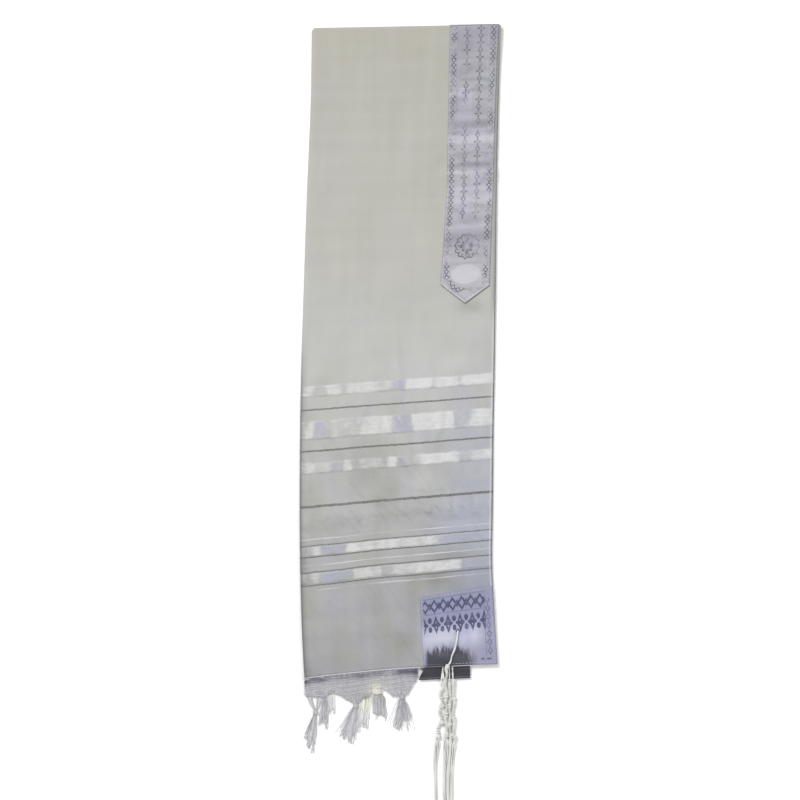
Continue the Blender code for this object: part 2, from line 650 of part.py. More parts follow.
def hem_edge(x):
    """Y and top height of the front layer's hem at a place."""
    hem = FRONT[-1]
    return np.interp(x, hem[:, 0], hem[:, 1]), np.interp(x, hem[:, 0], hem[:, 2])


# ---------------------------------------------------------------- strands

def ring_at(mesh, centre, side, up, half_width, half_height):
    """Four corners round a centre, in the order low left, low right, high right, high left."""
    corners = ((-1, -1), (1, -1), (1, 1), (-1, 1))
    return [mesh.verts.new(centre + side * (a * half_width) + up * (b * half_height))
            for a, b in corners]


def sleeve(mesh, one, other):
    """Side faces between two rings of the same number of corners."""
    count = len(one)
    for i in range(count):
        j = (i + 1) % count
        mesh.faces.new((one[i], one[j], other[j], other[i]))


def root(mesh, cell, keep):
    """Sink a strand's root into a backing's cell: a smaller ring inside the cell's corners."""
    centre = sum((vertex.co for vertex in cell), Vector()) / 4
    inner = [mesh.verts.new(centre + (vertex.co - centre) * keep) for vertex in cell]
    sleeve(mesh, cell, inner)
    return inner


def lattice_ring(centre, side, up, half_width, half_height, columns, rows):
    """Points of a rounded end, as a lattice: each is pulled in so that the outline is
    |a|^3 + |b|^3 = 1 in half widths and half heights."""
    points = []
    for j in range(rows + 1):
        for i in range(columns + 1):
            a = -1 + 2 * i / columns
            b = -1 + 2 * j / rows
            size = max(abs(a), abs(b))
            norm = (abs(a) ** 3 + abs(b) ** 3) ** (1 / 3)
            pull = size / norm if norm else 1.0
            points.append(centre + side * (a * pull * half_width) + up * (b * pull * half_height))
    return points


def rim_order(columns, rows):
    """Indices of a lattice's rim, once round."""
    wide = columns + 1
    bottom = list(range(columns + 1))
    right = [wide * j + columns for j in range(1, rows + 1)]
    top = [wide * rows + i for i in range(columns - 1, -1, -1)]
    left = [wide * j for j in range(rows - 1, 0, -1)]
    return bottom + right + top + left


def lattice_end(mesh, rim, points, columns, rows):
    """Close an end with a lattice of cells that share the rim's vertices."""
    order = rim_order(columns, rows)
    verts = {index: vertex for index, vertex in zip(order, rim)}
    for index, point in enumerate(points):
        if index not in verts:
            verts[index] = mesh.verts.new(point)
    wide = columns + 1
    return [[verts[wide * j + i], verts[wide * j + i + 1],
             verts[wide * (j + 1) + i + 1], verts[wide * (j + 1) + i]]
            for j in range(rows) for i in range(columns)]


def grow_strand(mesh, cell, centres, side, half_width):
    """A strand from a backing's cell through the centres, a little thinner at its end."""
    ring = root(mesh, cell, 0.62)
    up = Vector((0, 0, 1))
    for k, centre in enumerate(centres):
        taper = 1.0 - 0.25 * (k + 1) / len(centres)
        new_ring = ring_at(mesh, centre, side, up, half_width * taper, half_width * taper)
        sleeve(mesh, ring, new_ring)
        ring = new_ring
    mesh.faces.new(ring)


# ---------------------------------------------------------------- fringe

HEAD_COLUMNS, HEAD_ROWS = 5, 2


def build_strip(mesh, span, height, yarn_count, offset):
    """A narrow strip along the hem, at a height, or at the front layer's height where height is
    None. Returns the cell of each yarn on its lower side."""
    pitch = (span[1] - span[0]) / yarn_count
    stations = [span[0]]
    for i in range(yarn_count):
        middle = span[0] + (i + 0.5) * pitch
        stations += [middle - YARN_WIDTH / 2, middle + YARN_WIDTH / 2]
    stations.append(span[1])
    x = np.array(stations)
    y, top = hem_edge(x)
    y = y - offset
    middle_z = top - WALL / 2 if height is None else np.full_like(x, height)
    rings = []
    for place, edge, level in zip(x, y, middle_z):
        low, high = level - STRIP_WALL / 2, level + STRIP_WALL / 2
        rings.append([mesh.verts.new((place, edge - STRIP_DEPTH, low)), mesh.verts.new((place, edge, low)),
                      mesh.verts.new((place, edge, high)), mesh.verts.new((place, edge - STRIP_DEPTH, high))])
    cells = []
    for k, (one, other) in enumerate(zip(rings, rings[1:])):
        for i in range(3):
            mesh.faces.new((one[i], one[i + 1], other[i + 1], other[i]))
        if k % 2:
            cells.append([one[0], other[0], other[3], one[3]])
        else:
            mesh.faces.new((one[3], one[0], other[0], other[3]))
    mesh.faces.new(rings[0])
    mesh.faces.new(rings[-1])
    return cells


def build_tassel(mesh, tassel, knot, yarn_cells):
    """A knot with yarns of the fringe running into it and its strands fanning out below."""
    start = Vector((tassel.knot_x, tassel.knot_y, knot.z))
    tip = Vector((tassel.tip_x, tassel.tip_y, knot.z))
    ahead = (tip - start).normalized()
    up = Vector((0, 0, 1))
    side = up.cross(ahead)
    side = side if side.x > 0 else -side
    rims, ends = [], []
    for along, size in ((0.0, 0.72), (0.35, 1.0), (0.7, 1.0), (1.0, 0.8)):
        points = lattice_ring(start + ahead * (along * KNOT_LENGTH), side, up,
                              knot.half_width * size, knot.half_height * size, HEAD_COLUMNS, HEAD_ROWS)
        rims.append([mesh.verts.new(points[index]) for index in rim_order(HEAD_COLUMNS, HEAD_ROWS)])
        ends.append(points)
    for one, other in zip(rims, rims[1:]):
        sleeve(mesh, one, other)
    upper = lattice_end(mesh, rims[0], ends[0], HEAD_COLUMNS, HEAD_ROWS)
    lower = lattice_end(mesh, rims[-1], ends[-1], HEAD_COLUMNS, HEAD_ROWS)
    yarns = iter(yarn_cells)
    for index, cell in enumerate(upper):
        if index // HEAD_COLUMNS == knot.yarn_row:
            sleeve(mesh, root(mesh, cell, 0.6), next(yarns))
        else:
            mesh.faces.new(cell)
    base = start + ahead * KNOT_LENGTH
    length = (tip - base).length
    for index, cell in enumerate(lower):
        column, level = index % HEAD_COLUMNS, index // HEAD_COLUMNS
        lean = -1 + 2 * column / (HEAD_COLUMNS - 1)
        reach = length * (1.0 - 0.10 * ((column * 3 + level * 2) % 4) / 3)
        centres = []
        for share in (0.22, 0.6, 1.0):
            wide = max(tassel.spread * (0.35 + 0.65 * share), STRANDS_HALF_WIDTH)
            place = base + ahead * (reach * share) + side * (lean * wide)
            centres.append(Vector((place.x, place.y, knot.levels[level])))
        grow_strand(mesh, cell, centres, side, STRAND_HALF)


def build_fringe(name, tassels, span, strip_height, strip_offset, knot):
    """A stretch of fringe as one body: a strip, its yarns, and the tassels that they run into."""
    mesh = bmesh.new()
    cells = build_strip(mesh, span, strip_height, YARNS_PER_TASSEL * len(tassels), strip_offset)
    for i, tassel in enumerate(tassels):
        own = cells[i * YARNS_PER_TASSEL:(i + 1) * YARNS_PER_TASSEL]
        build_tassel(mesh, tassel, knot, own)
    return finish(name, mesh, YARN)


# ---------------------------------------------------------------- tzitzit

CORD_COLUMNS, CORD_ROWS = 4, 2


def build_tzitzit(name, cord, loose):
    """A corner tassel: a cord of windings and double knots, and eight loose strings."""
    mesh = bmesh.new()
    places = [Vector((row.x, row.y, row.z)) for row in cord]
    rims, ends = [], []
    for k, (row, place) in enumerate(zip(cord, places)):
        ahead = (places[min(k + 1, len(places) - 1)] - places[max(k - 1, 0)]).normalized()
        side = Vector((-ahead.y, ahead.x, 0.0)).normalized()
        side = side if side.x > 0 else -side
        up = side.cross(ahead).normalized()
        up = up if up.z > 0 or abs(up.z) < 0.3 and up.y > 0 else -up
        if k == len(places) - 1:
            side, up = Vector((1, 0, 0)), Vector((0, 0, 1))
        points = lattice_ring(place, side, up, row.half_width, row.half_height, CORD_COLUMNS, CORD_ROWS)
        rims.append([mesh.verts.new(points[index]) for index in rim_order(CORD_COLUMNS, CORD_ROWS)])
        ends.append(points)
    for one, other in zip(rims, rims[1:]):
        sleeve(mesh, one, other)
    mesh.faces.new(rims[0])
    for index, cell in enumerate(lattice_end(mesh, rims[-1], ends[-1], CORD_COLUMNS, CORD_ROWS)):
        column, level = index % CORD_COLUMNS, index // CORD_COLUMNS
        lean = -1 + 2 * column / (CORD_COLUMNS - 1)
        last = len(loose) - 1
        centres = []
        for k, row in enumerate(loose):
            shorter = 9 * MM * ((column * 5 + level * 3) % 4) / 3 if k == last else 0.0
            centres.append(Vector((row.x + lean * row.half_width * 0.86, row.y + shorter,
                                   STRING_LEVELS[level])))
        grow_strand(mesh, cell, centres, Vector((1, 0, 0)), STRING_HALF)
    piece = finish(name, mesh, CORD)
    return piece


# ---------------------------------------------------------------- the whole shawl

def build():
    """Empty the scene and make every piece."""
    for old in list(bpy.data.objects):
        bpy.data.objects.remove(old, do_unlink=True)
    build_front()
    build_folded_layers()
    build_neckband()
    build_front_patch()
    build_under_patch()
    build_fringe("fringe_front", FRONT_TASSELS, FRONT_STRIP_X, None, GAP, FRONT_KNOT)
    build_fringe("fringe_under", UNDER_TASSELS, UNDER_STRIP_X, UNDER_STRIP_Z, -UNDER_STRIP_TUCK,
                 UNDER_KNOT)
    for name, (cord, loose) in TZITZIT.items():
        build_tzitzit(name, cord, loose)


build()
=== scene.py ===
import math
from collections import namedtuple

import bpy
import numpy as np
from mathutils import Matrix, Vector


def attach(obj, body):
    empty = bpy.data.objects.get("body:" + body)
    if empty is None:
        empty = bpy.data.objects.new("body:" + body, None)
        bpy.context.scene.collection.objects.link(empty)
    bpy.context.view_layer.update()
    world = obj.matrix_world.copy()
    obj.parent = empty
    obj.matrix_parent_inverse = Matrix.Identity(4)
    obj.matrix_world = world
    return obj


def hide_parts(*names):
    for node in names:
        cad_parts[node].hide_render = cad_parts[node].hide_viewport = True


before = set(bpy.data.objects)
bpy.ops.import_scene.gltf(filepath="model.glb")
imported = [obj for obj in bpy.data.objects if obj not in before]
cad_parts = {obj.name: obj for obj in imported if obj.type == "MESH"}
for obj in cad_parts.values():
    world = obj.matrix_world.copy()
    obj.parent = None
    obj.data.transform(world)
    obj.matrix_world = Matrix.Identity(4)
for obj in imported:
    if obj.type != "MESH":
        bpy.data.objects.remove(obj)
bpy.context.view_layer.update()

MM = 0.001


# ---------------------------------------------------------------- table, light and view
# The shawl lies folded on a plain pale table, seen from straight above. One large soft lamp
# beyond its folded end gives the slow fall of light down the cloth, and a pale room fills in.

VIEW_CENTRE = (0.0018, -0.0592)
VIEW_WIDTH = 0.947
VIEW_HEIGHT = 2.6
SENSOR = 36.0
ROOM_LIGHT = 0.50
TABLE_HALF, TABLE_TOP = 4.0, -0.1 * MM


def tone(red, green, blue):
    """A finish's colour from its screen values, 0 to 255."""
    screen = np.array((red, green, blue)) / 255
    return (*np.where(screen > 0.04045, ((screen + 0.055) / 1.055) ** 2.4, screen / 12.92), 1.0)


class Wire:
    """A socket of a finish. Arithmetic between wires and numbers adds Math nodes."""

    def __init__(self, finish, socket):
        self.finish, self.socket = finish, socket

    def out(self, name):
        """Another output of the same node."""
        return Wire(self.finish, self.socket.node.outputs[name])

    def maths(self, operation, *others):
        """One Math node on this wire and up to two more."""
        return self.finish.node("Math", {"operation": operation}, self, *others)

    def __add__(self, other):
        return self.maths("ADD", other)

    def __mul__(self, other):
        return self.maths("MULTIPLY", other)

    def __sub__(self, other):
        return self.maths("SUBTRACT", other)

    def __truediv__(self, other):
        return self.maths("DIVIDE", other)

    def __rsub__(self, other):
        return self.finish.node("Math", {"operation": "SUBTRACT"}, other, self)

    def __abs__(self):
        return self.maths("ABSOLUTE")

    __radd__, __rmul__ = __add__, __mul__

    def most(self, other):
        """The greater of two values."""
        return self.maths("MAXIMUM", other)

    def least(self, other):
        """The smaller of two values."""
        return self.maths("MINIMUM", other)

    def held(self):
        """Held between 0 and 1."""
        return self.most(0.0).least(1.0)

    def rising(self, start, run):
        """0 up to start, and 1 after it by run."""
        return ((self - start) / run).held()

    def falling(self, end, run):
        """1 up to run before the end, and 0 past it."""
        return ((end - self) / run).held()

    def spots(self, gain, floor):
        """Patches where a noise is high: gain times it, less the floor, held."""
        return (self * gain - floor).held()

    def within(self, half, soft):
        """1 where the value is less than half away from 0, with an edge of width soft."""
        return ((half - abs(self)) / soft + 0.5).held()

    def each(self, pitch):
        """The value's offset from the middle of the repeat that it is in."""
        return (self / pitch).maths("FRACT") * pitch - pitch / 2


class Finish:
    """A material in the making: one Principled shader and the nodes that feed it."""

    def __init__(self, name, **fixed):
        self.material = bpy.data.materials.new(name)
        self.material.use_nodes = True
        self.tree = self.material.node_tree
        self.shader = self.tree.nodes["Principled BSDF"]
        for socket, value in fixed.items():
            self.shader.inputs[socket.replace("_", " ")].default_value = value

    def feed(self, socket, value):
        """Give a socket a wire or a fixed value."""
        if isinstance(value, Wire):
            self.tree.links.new(value.socket, socket)
        elif value is not None:
            socket.default_value = value

    def node(self, kind, settings, *values, **named):
        """Any node: its settings first, then its sockets in order or by name."""
        made = self.tree.nodes.new("ShaderNode" + kind)
        for key, value in settings.items():
            if key == "stops":
                while len(made.color_ramp.elements) < len(value):
                    made.color_ramp.elements.new(0.5)
                for element, (place, colour) in zip(made.color_ramp.elements, value):
                    element.position, element.color = place, colour
            else:
                setattr(made, key, value)
        for socket, value in zip(made.inputs, values):
            self.feed(socket, value)
        for key, value in named.items():
            self.feed(made.inputs[key.replace("_", " ")], value)
        return Wire(self, made.outputs[0])

    def mix(self, share, one, other):
        """A colour between two, other where share is 1."""
        made = self.node("Mix", {"data_type": "RGBA"}, share).socket.node
        self.feed(made.inputs[6], one)
        self.feed(made.inputs[7], other)
        return Wire(self, made.outputs[2])

    def coats(self, colour, *layers):
        """A colour with layers laid over it in turn, each a share and a tone."""
        for share, shade in layers:
            colour = self.mix(share, colour, tone(*shade))
        return colour

    def ramp(self, at, *stops):
        """A colour that runs through stops, each a place and a tone."""
        return self.node("ValToRGB", {"stops": [(place, tone(*shade)) for place, shade in stops]}, at)

    def cloth_map(self):
        """The piece's own map, and from it the places across and down, in metres."""
        uv = self.node("UVMap", {"uv_map": "cloth"})
        places = self.node("SeparateXYZ", {}, uv)
        return uv, places, places.out("Y")

    def mark(self, name):
        """One of the piece's marks, from point to point."""
        return self.node("Attribute", {"attribute_name": name}).out("Fac")

    def noise(self, scale, detail=2.0, stretch=(1, 1, 1), place=None):
        """Noise from 0 to 1 over the piece, scale cells to the metre, drawn out by stretch."""
        at = place or self.node("TexCoord", {}).out("Object")
        moved = self.node("Mapping", {}, at, Scale=stretch)
        return self.node("TexNoise", {}, Vector=moved, Scale=scale, Detail=detail)

    def ends(self, colour=None, roughness=None, height=None, depth=0.0001, swell=None):
        """Link what varies into the shader. The bump is height times depth, in metres, over a
        broader one, swell, that is in metres itself."""
        self.feed(self.shader.inputs["Base Color"], colour)
        self.feed(self.shader.inputs["Roughness"], roughness)
        if height is not None:
            bump = self.node("Bump", {}, Strength=1.0, Distance=depth, Height=height)
            if swell is not None:
                broad = self.node("Bump", {}, Strength=1.0, Distance=1.0, Height=swell)
                self.feed(bump.socket.node.inputs["Normal"], broad)
            self.feed(self.shader.inputs["Normal"], bump)
        return self.material


def make_mesh(name, points, groups, finish, across=None, along=None, marks=None):
    """A piece from points and groups of faces, each group an array of faces x corners. across and
    along, in metres over the cloth, become its UV map, and marks its own point attributes."""
    points = np.asarray(points, np.float32).reshape(-1, 3)
    groups = [np.asarray(group, np.int32) for group in groups if len(group)]
    sizes = np.concatenate([np.full(len(group), group.shape[1]) for group in groups])
    corners = np.concatenate([group.ravel() for group in groups])
    mesh = bpy.data.meshes.new(name)
    mesh.vertices.add(len(points))
    mesh.vertices.foreach_set("co", points.ravel())
    mesh.loops.add(len(corners))
    mesh.loops.foreach_set("vertex_index", corners)
    mesh.polygons.add(len(sizes))
    mesh.polygons.foreach_set("loop_start", np.cumsum(sizes) - sizes)
    mesh.polygons.foreach_set("use_smooth", np.full(len(sizes), True))
    mesh.update(calc_edges=True)
    if across is not None:
        both = np.stack([np.ravel(across)[corners], np.ravel(along)[corners]], axis=1)
        mesh.uv_layers.new(name="cloth").uv.foreach_set("vector", both.astype(np.float32).ravel())
    for mark, values in (marks or {}).items():
        made = mesh.attributes.new(mark, "FLOAT", "POINT")
        made.data.foreach_set("value", np.asarray(values, np.float32).ravel())
    mesh.materials.append(finish)
    piece = bpy.data.objects.new(name, mesh)
    bpy.context.scene.collection.objects.link(piece)
    return piece


def net(rows, columns):
    """Quads of a rows x columns grid of points."""
    at = np.arange(rows * columns).reshape(rows, columns)
    return np.stack([at[:-1, :-1], at[1:, :-1], at[1:, 1:], at[:-1, 1:]], axis=-1).reshape(-1, 4)


def lay_table():
    """The table: a flat square, a hair below the cloth."""
    finish = Finish("table_top", Roughness=0.9)
    patches = finish.noise(1.5)
    matt = finish.ends(finish.mix(patches, (0.95, 0.95, 0.95, 1), (0.98, 0.98, 0.975, 1)))
    reach = np.array([-TABLE_HALF, TABLE_HALF])
    x, y = np.meshgrid(reach, reach)
    places = np.stack([x, y, np.full_like(x, TABLE_TOP)], -1)
    make_mesh("table", places, [net(2, 2)[:, ::-1]], matt)


def set_lamp(name, place, aim, size, power):
    """A square soft lamp at a place, turned to its aim."""
    light = bpy.data.lights.new(name, "AREA")
    light.size, light.energy = size, power
    lamp = bpy.data.objects.new(name, light)
    lamp.location = place
    lamp.rotation_euler = (Vector(aim) - Vector(place)).to_track_quat("-Z", "Y").to_euler()
    bpy.context.scene.collection.objects.link(lamp)


lay_table()
set_lamp("window", place=(-1.10, 1.26, 2.10), aim=(0.0, -0.05, 0.0), size=1.0, power=55.5)
set_lamp("bounce", place=(1.7, -0.9, 2.4), aim=(0.1, -0.2, 0.0), size=2.2, power=26.0)
world = bpy.data.worlds.new("pale_room")
world.use_nodes = True
world.node_tree.nodes["Background"].inputs["Color"].default_value = (1.0, 1.0, 1.0, 1.0)
world.node_tree.nodes["Background"].inputs["Strength"].default_value = ROOM_LIGHT
bpy.context.scene.world = world
bpy.context.scene.view_settings.view_transform = "Standard"

view = bpy.data.cameras.new("view")
view.sensor_width = SENSOR
view.lens = SENSOR * VIEW_HEIGHT / VIEW_WIDTH
camera = bpy.data.objects.new("view", view)
camera.location = (*VIEW_CENTRE, VIEW_HEIGHT)
bpy.context.scene.collection.objects.link(camera)
bpy.context.scene.camera = camera


# ---------------------------------------------------------------- the shawl's cloth
# One wide cloth of fine wool, woven in cream with satin bands and silver lines near its ends.
# It is folded once across and once along, so four layers lie on each other: the front half
# gives the top and bottom layers, and the back half the two between.

CLOTH_WALL = 0.7 * MM
FRONT_TOP = 5.4 * MM
LONG_REACH, TOP_REACH = 5.0 * MM, 4.4 * MM
INNER_REACH = 3.0 * MM
LONG_LOFT, LONG_LOFT_REACH = 2.4 * MM, 22 * MM
TOP_LOFT, TOP_LOFT_REACH = 3.0 * MM, 30 * MM
LOFT_OVERLAP = 0.42
TUCK = 8.0 * MM
ROLL_SHARE = 0.0219
EYELET = (70.1 * MM, -331.9 * MM)
EYELET_RADIUS = 1.9 * MM
Station = namedtuple("Station", "y x_left x_right rise bow")
OUTLINE = (
    Station(0.3801, -0.1024, 0.1208, 0.0041, 0.0),
    Station(0.2960, -0.1036, 0.1178, 0.0065, 0.0),
    Station(0.1776, -0.1085, 0.1154, 0.0107, 0.0),
    Station(0.0829, -0.1117, 0.1143, 0.0130, 0.0),
    Station(-0.0355, -0.1154, 0.1125, 0.0160, 0.0),
    Station(-0.1184, -0.1166, 0.1110, 0.0178, 0.0),
    Station(-0.2131, -0.1168, 0.1101, 0.0201, 0.0005),
    Station(-0.2723, -0.1160, 0.1095, 0.0222, 0.0012),
    Station(-0.3315, -0.1143, 0.1131, 0.0195, 0.0020),
    Station(-0.3873, -0.1115, 0.1170, 0.0160, 0.0032),
)
LENGTH = OUTLINE[0].y - OUTLINE[-1].y

# Soft folds and creases, in millimetres: each runs along a line that bends aside by sway, and
# is a ridge of that height, or a trough, with a shallow dip along its far side.
Crease = namedtuple("Crease", "x0 y0 x1 y1 sway reach height")
CREASE_DIP_AWAY, SOFT_DIP, FINE_DIP = 1.7, 0.25, 0.4
SOFT_FOLDS = [Crease(*row) for row in (
    (-4, 20, 12, -300, 4, 13, 1.7), (-62, -40, -72, -350, 6, 16, 1.3), (62, -20, 70, -190, 3, 13, 1.4),
    (-30, 330, -50, 120, 8, 24, 1.2), (55, 206, 118, 209, 1, 7, 1.6), (52, 220, 118, 222, 1, 6, -0.8),
    (24, -181, 56, -192, 2, 8, 1.5), (20, -196, 50, -170, 2, 7, -0.6),
    (46, -268, 108, -288, 3, 10, 1.7), (-100, -240, -40, -262, 3, 12, 1.0),
    (26, 250, 44, 90, -7, 20, 1.2), (-86, 60, -70, -90, 5, 15, 1.0),
)]
HEM_BUMP = Crease(58, -366, 58, -384, 0, 20, 3.2)
FINE_CREASES = [Crease(*row) for row in (
    (-4, 10, 0, -86, 2, 5, 0.9), (4, -84, 34, -172, -4, 7, 1.2), (12, -60, 34, -158, 4, 6, 0.9),
    (-54, -126, -32, -176, 2, 6, 1.1), (-70, -128, -50, -174, -1, 6, -0.7),
    (-30, -118, -4, -177, 3, 6, 0.9), (46, -96, 40, -152, -2, 5, 0.9), (66, -92, 78, -150, 3, 6, -0.7),
    (88, -96, 92, -140, 1, 5, 0.9), (-92, -50, -88, -110, 2, 6, 0.8), (-76, -60, -80, -104, -1, 4, 0.7),
    (-40, -56, -44, -104, 1, 5, 0.8), (28, -46, 32, -96, -1, 6, 0.8), (78, -40, 82, -92, 2, 5, 0.7),
    (-98, -184, -86, -197, 1, 3.0, 1.3), (-80, -183, -70, -194, -1, 2.6, 1.1),
    (-60, -182, -47, -200, 1, 3.0, 1.6), (-42, -181, -30, -197, -1, 2.8, -1.0),
    (-24, -179, -14, -190, 1, 2.6, 1.4), (-6, -178, 6, -192, -1, 2.8, 1.1),
    (20, -172, 36, -190, 1, 3.2, 1.9), (30, -168, 44, -186, -1, 3.0, -1.0),
    (48, -171, 60, -187, 1, 2.8, 2.1), (60, -170, 74, -184, -1, 2.8, 1.6),
    (74, -167, 86, -180, 1, 2.8, 1.4), (92, -166, 100, -176, 1, 2.6, 1.0),
    (-24, -286, -22, -372, 3, 7, 1.2), (-34, -284, -38, -350, -3, 6, -0.6),
    (70, -208, 104, -252, 4, 5, 1.2), (60, -232, 100, -286, -4, 6, -0.6),
    (38, -206, 58, -236, 2, 5, 0.9), (-6, -200, 10, -232, -2, 6, 0.7),
    (-110, -206, -94, -222, 2, 5, 0.9), (-108, -228, -88, -238, -2, 5, -0.5),
    (90, 60, 104, -20, 3, 7, 0.7), (30, 120, 60, 20, 6, 11, 0.8), (-80, 200, -20, 60, -9, 14, 0.8),
    (-95, 120, -84, -30, 4, 9, 0.6), (10, 330, 30, 190, -5, 12, 0.7), (44, 342, 62, 300, 2, 6, 0.6),
    (60, 296, 118, 300, 1, 5, 0.6), (64, 142, 112, 146, -1, 5, 0.8), (24, -310, 60, -330, 3, 8, 0.9),
    (0, -318, 24, -352, -3, 7, 0.8), (-88, -300, -60, -366, -4, 10, 0.8),
    (-104, -330, -96, -376, 2, 6, 0.7), (84, -292, 112, -306, 2, 5, 0.9), (26, 40, 44, -44, -3, 7, 0.7),
    (96, -40, 104, -84, 2, 5, 0.6), (0, -126, 44, -180, 2, 7, 2.2), (-16, -116, 18, -176, 3, 9, -1.5),
    (38, -134, 60, -176, 2, 5, 1.3), (-72, -112, -40, -172, 4, 9, 1.2),
    (58, -184, 88, -214, -2, 6, 1.4),
)]


def through(stations, values, at):
    """A smooth curve through a table: cubic pieces whose slopes are those of the neighbours."""
    stations, values = np.asarray(stations, float), np.asarray(values, float)
    slopes = np.gradient(values, stations)
    at = np.clip(np.asarray(at, float), stations[0], stations[-1])
    low = np.clip(np.searchsorted(stations, at, side="right") - 1, 0, len(stations) - 2)
    step = stations[low + 1] - stations[low]
    t = (at - stations[low]) / step
    return ((2 * t ** 3 - 3 * t ** 2 + 1) * values[low] + (t ** 3 - 2 * t ** 2 + t) * step * slopes[low]
            + (3 * t ** 2 - 2 * t ** 3) * values[low + 1] + (t ** 3 - t ** 2) * step * slopes[low + 1])


def outline(name, down):
    """One column of the outline table at a distance down from the top fold, in metres."""
    return through([OUTLINE[0].y - row.y for row in OUTLINE], [getattr(row, name) for row in OUTLINE], down)


def plan(across, down):
    """Place on the table: across is 0 at the long fold and 1 at the selvedge, down in metres."""
    left = outline("x_left", down)
    x = left + (outline("x_right", down) - left) * across
    y = outline("y", down) + outline("rise", down) * across + outline("bow", down) * np.sin(np.pi * across)
    return x, y


def relief(x, y, creases, dip):
    """Sum of creases. Each falls off from its bent line as exp(-(d/reach)^2), comes and goes along
    its run, and has a dip of that share beside it, CREASE_DIP_AWAY reaches to one side."""
    total = np.zeros_like(x)
    for crease in creases:
        x0, y0, x1, y1, sway, reach, height = (value * MM for value in crease)
        run = np.hypot(x1 - x0, y1 - y0)
        ahead = ((x1 - x0) / run, (y1 - y0) / run)
        along = ((x - x0) * ahead[0] + (y - y0) * ahead[1]) / run
        beside = (y - y0) * ahead[0] - (x - x0) * ahead[1] - sway * np.sin(np.pi * along)
        past = run * (np.clip(-along, 0, None) + np.clip(along - 1, 0, None))
        away = np.hypot(beside, past) / reach
        from_dip = np.hypot(beside - CREASE_DIP_AWAY * reach, past) / reach
        wane = 0.75 + 0.25 * np.sin(5.1 * along + 40 * x0)
        total += height * wane * (np.exp(-away ** 2) - dip * np.exp(-from_dip ** 2))
    return total


def smooth_share(share):
    """0 to 1 with level ends: 3s^2 - 2s^3."""
    return share * share * (3 - 2 * share)


def spring(across, down):
    """How much a folded edge springs up: a loft times exp(-(d/reach)^2) from each fold, and less
    than their sum where both do."""
    x, y = plan(across, down)
    from_long = x - outline("x_left", down)
    from_top = plan(across, np.zeros_like(down))[1] - y
    rise = (LONG_LOFT * np.exp(-(from_long / LONG_LOFT_REACH) ** 2)
            + TOP_LOFT * np.exp(-(from_top / TOP_LOFT_REACH) ** 2))
    return rise * (1 - LOFT_OVERLAP * rise / FRONT_TOP)


def front_top(across, down):
    """Height of the shawl's top face: flat cloth, its spring at the folds, its creases, and a
    slight ripple, the product of two bent sines."""
    x, y = plan(across, down)
    limp = 0.16 + 0.24 * smooth_share(((0.02 - y) / 0.10).clip(0, 1))
    broad = np.sin(x / 0.0105 + 2.6 * np.sin(y / 0.055)) * np.sin(y / 0.033 + 2.0 * np.sin(x / 0.04))
    small = np.sin(x / 0.0062 - y / 0.021) * np.sin(y / 0.012 + x / 0.03)
    ripple = limp * MM * (broad + 0.5 * small)
    return (FRONT_TOP + spring(across, down) + relief(x, y, SOFT_FOLDS, SOFT_DIP)
            + relief(x, y, (HEM_BUMP,), 0.0) + relief(x, y, FINE_CREASES, FINE_DIP) + ripple)


def lip_reach(layer, across, down):
    """How far each layer's selvedge lies outside the front one's, and its hem below the front
    hem. A hidden corner of the third layer sticks out below the hem between two places."""
    side = {1: 0.0, 2: 0.4, 3: 1.0, 4: 0.4}[layer] * MM
    sway = {1: 0.0, 2: 0.5, 3: 0.3, 4: -0.4}[layer] * MM * np.sin(7.0 * down / LENGTH + layer)
    calm = np.clip(down / 0.09, 0, 1) * np.clip((LENGTH - down) / 0.12, 0, 1)
    x = plan(across, down)[0]
    corner = np.clip((x - 31 * MM) / (3 * MM), 0, 1) * np.clip((82 * MM - x) / (2 * MM), 0, 1)
    hem = {1: 0.0, 2: 1.5, 3: 2.5, 4: 1.0}[layer] * MM
    out = {1: 0.0, 2: -4.0, 3: 15.0, 4: 13.0}[layer] * MM
    return (side * calm + sway * calm) * across ** 8, (hem - out * corner) * (down / LENGTH) ** 30


def layer_places(layer, across, down):
    """Middle surface of one layer, 1 at the top to 4 on the table."""
    right, up = lip_reach(layer, across, down)
    x, y = plan(across, down)
    if layer == 1:
        height = front_top(across, down) - CLOTH_WALL / 2
    else:
        stack = FRONT_TOP + spring(across, down) + 0.6 * relief(x, y, SOFT_FOLDS, SOFT_DIP) - CLOTH_WALL
        height = CLOTH_WALL / 2 + stack * (4 - layer) / 3
    return np.stack([x + right, y + up, height], axis=-1)


def cloth_places(across, roll, down, turn, lift=0.0):
    """Points of the folded cloth. roll goes from 0 on the upper layers to pi on the lower ones
    round the long fold, and turn likewise from the front half to the back half round the top
    fold: a point is the cosine blend of its four layers, moved out by the fold's reach times
    the sine. lift moves the surface outwards."""
    upper, front = (1 + np.cos(roll))[..., None] / 2, (1 + np.cos(turn))[..., None] / 2
    one, two, three, four = (layer_places(layer, across, down) for layer in (1, 2, 3, 4))
    one[..., 2] += lift
    two[..., 2] -= lift
    places = front * (upper * one + (1 - upper) * four) + (1 - front) * (upper * two + (1 - upper) * three)
    reach = front[..., 0] * LONG_REACH + (1 - front[..., 0]) * INNER_REACH
    out_long = (reach - CLOTH_WALL / 2) * np.sin(roll)
    out_top = (TOP_REACH - CLOTH_WALL / 2 + lift) * np.sin(turn) * (0.3 + 0.7 * abs(np.cos(roll)))
    places[..., 0] -= out_long
    places[..., 1] += out_top
    return places


def spaced(start, stretches):
    """Places in a row: each stretch is its end and the number of steps to it."""
    places = [np.array([start])]
    for end, steps in stretches:
        places.append(np.linspace(places[-1][-1], end, steps + 1)[1:])
    return np.concatenate(places)


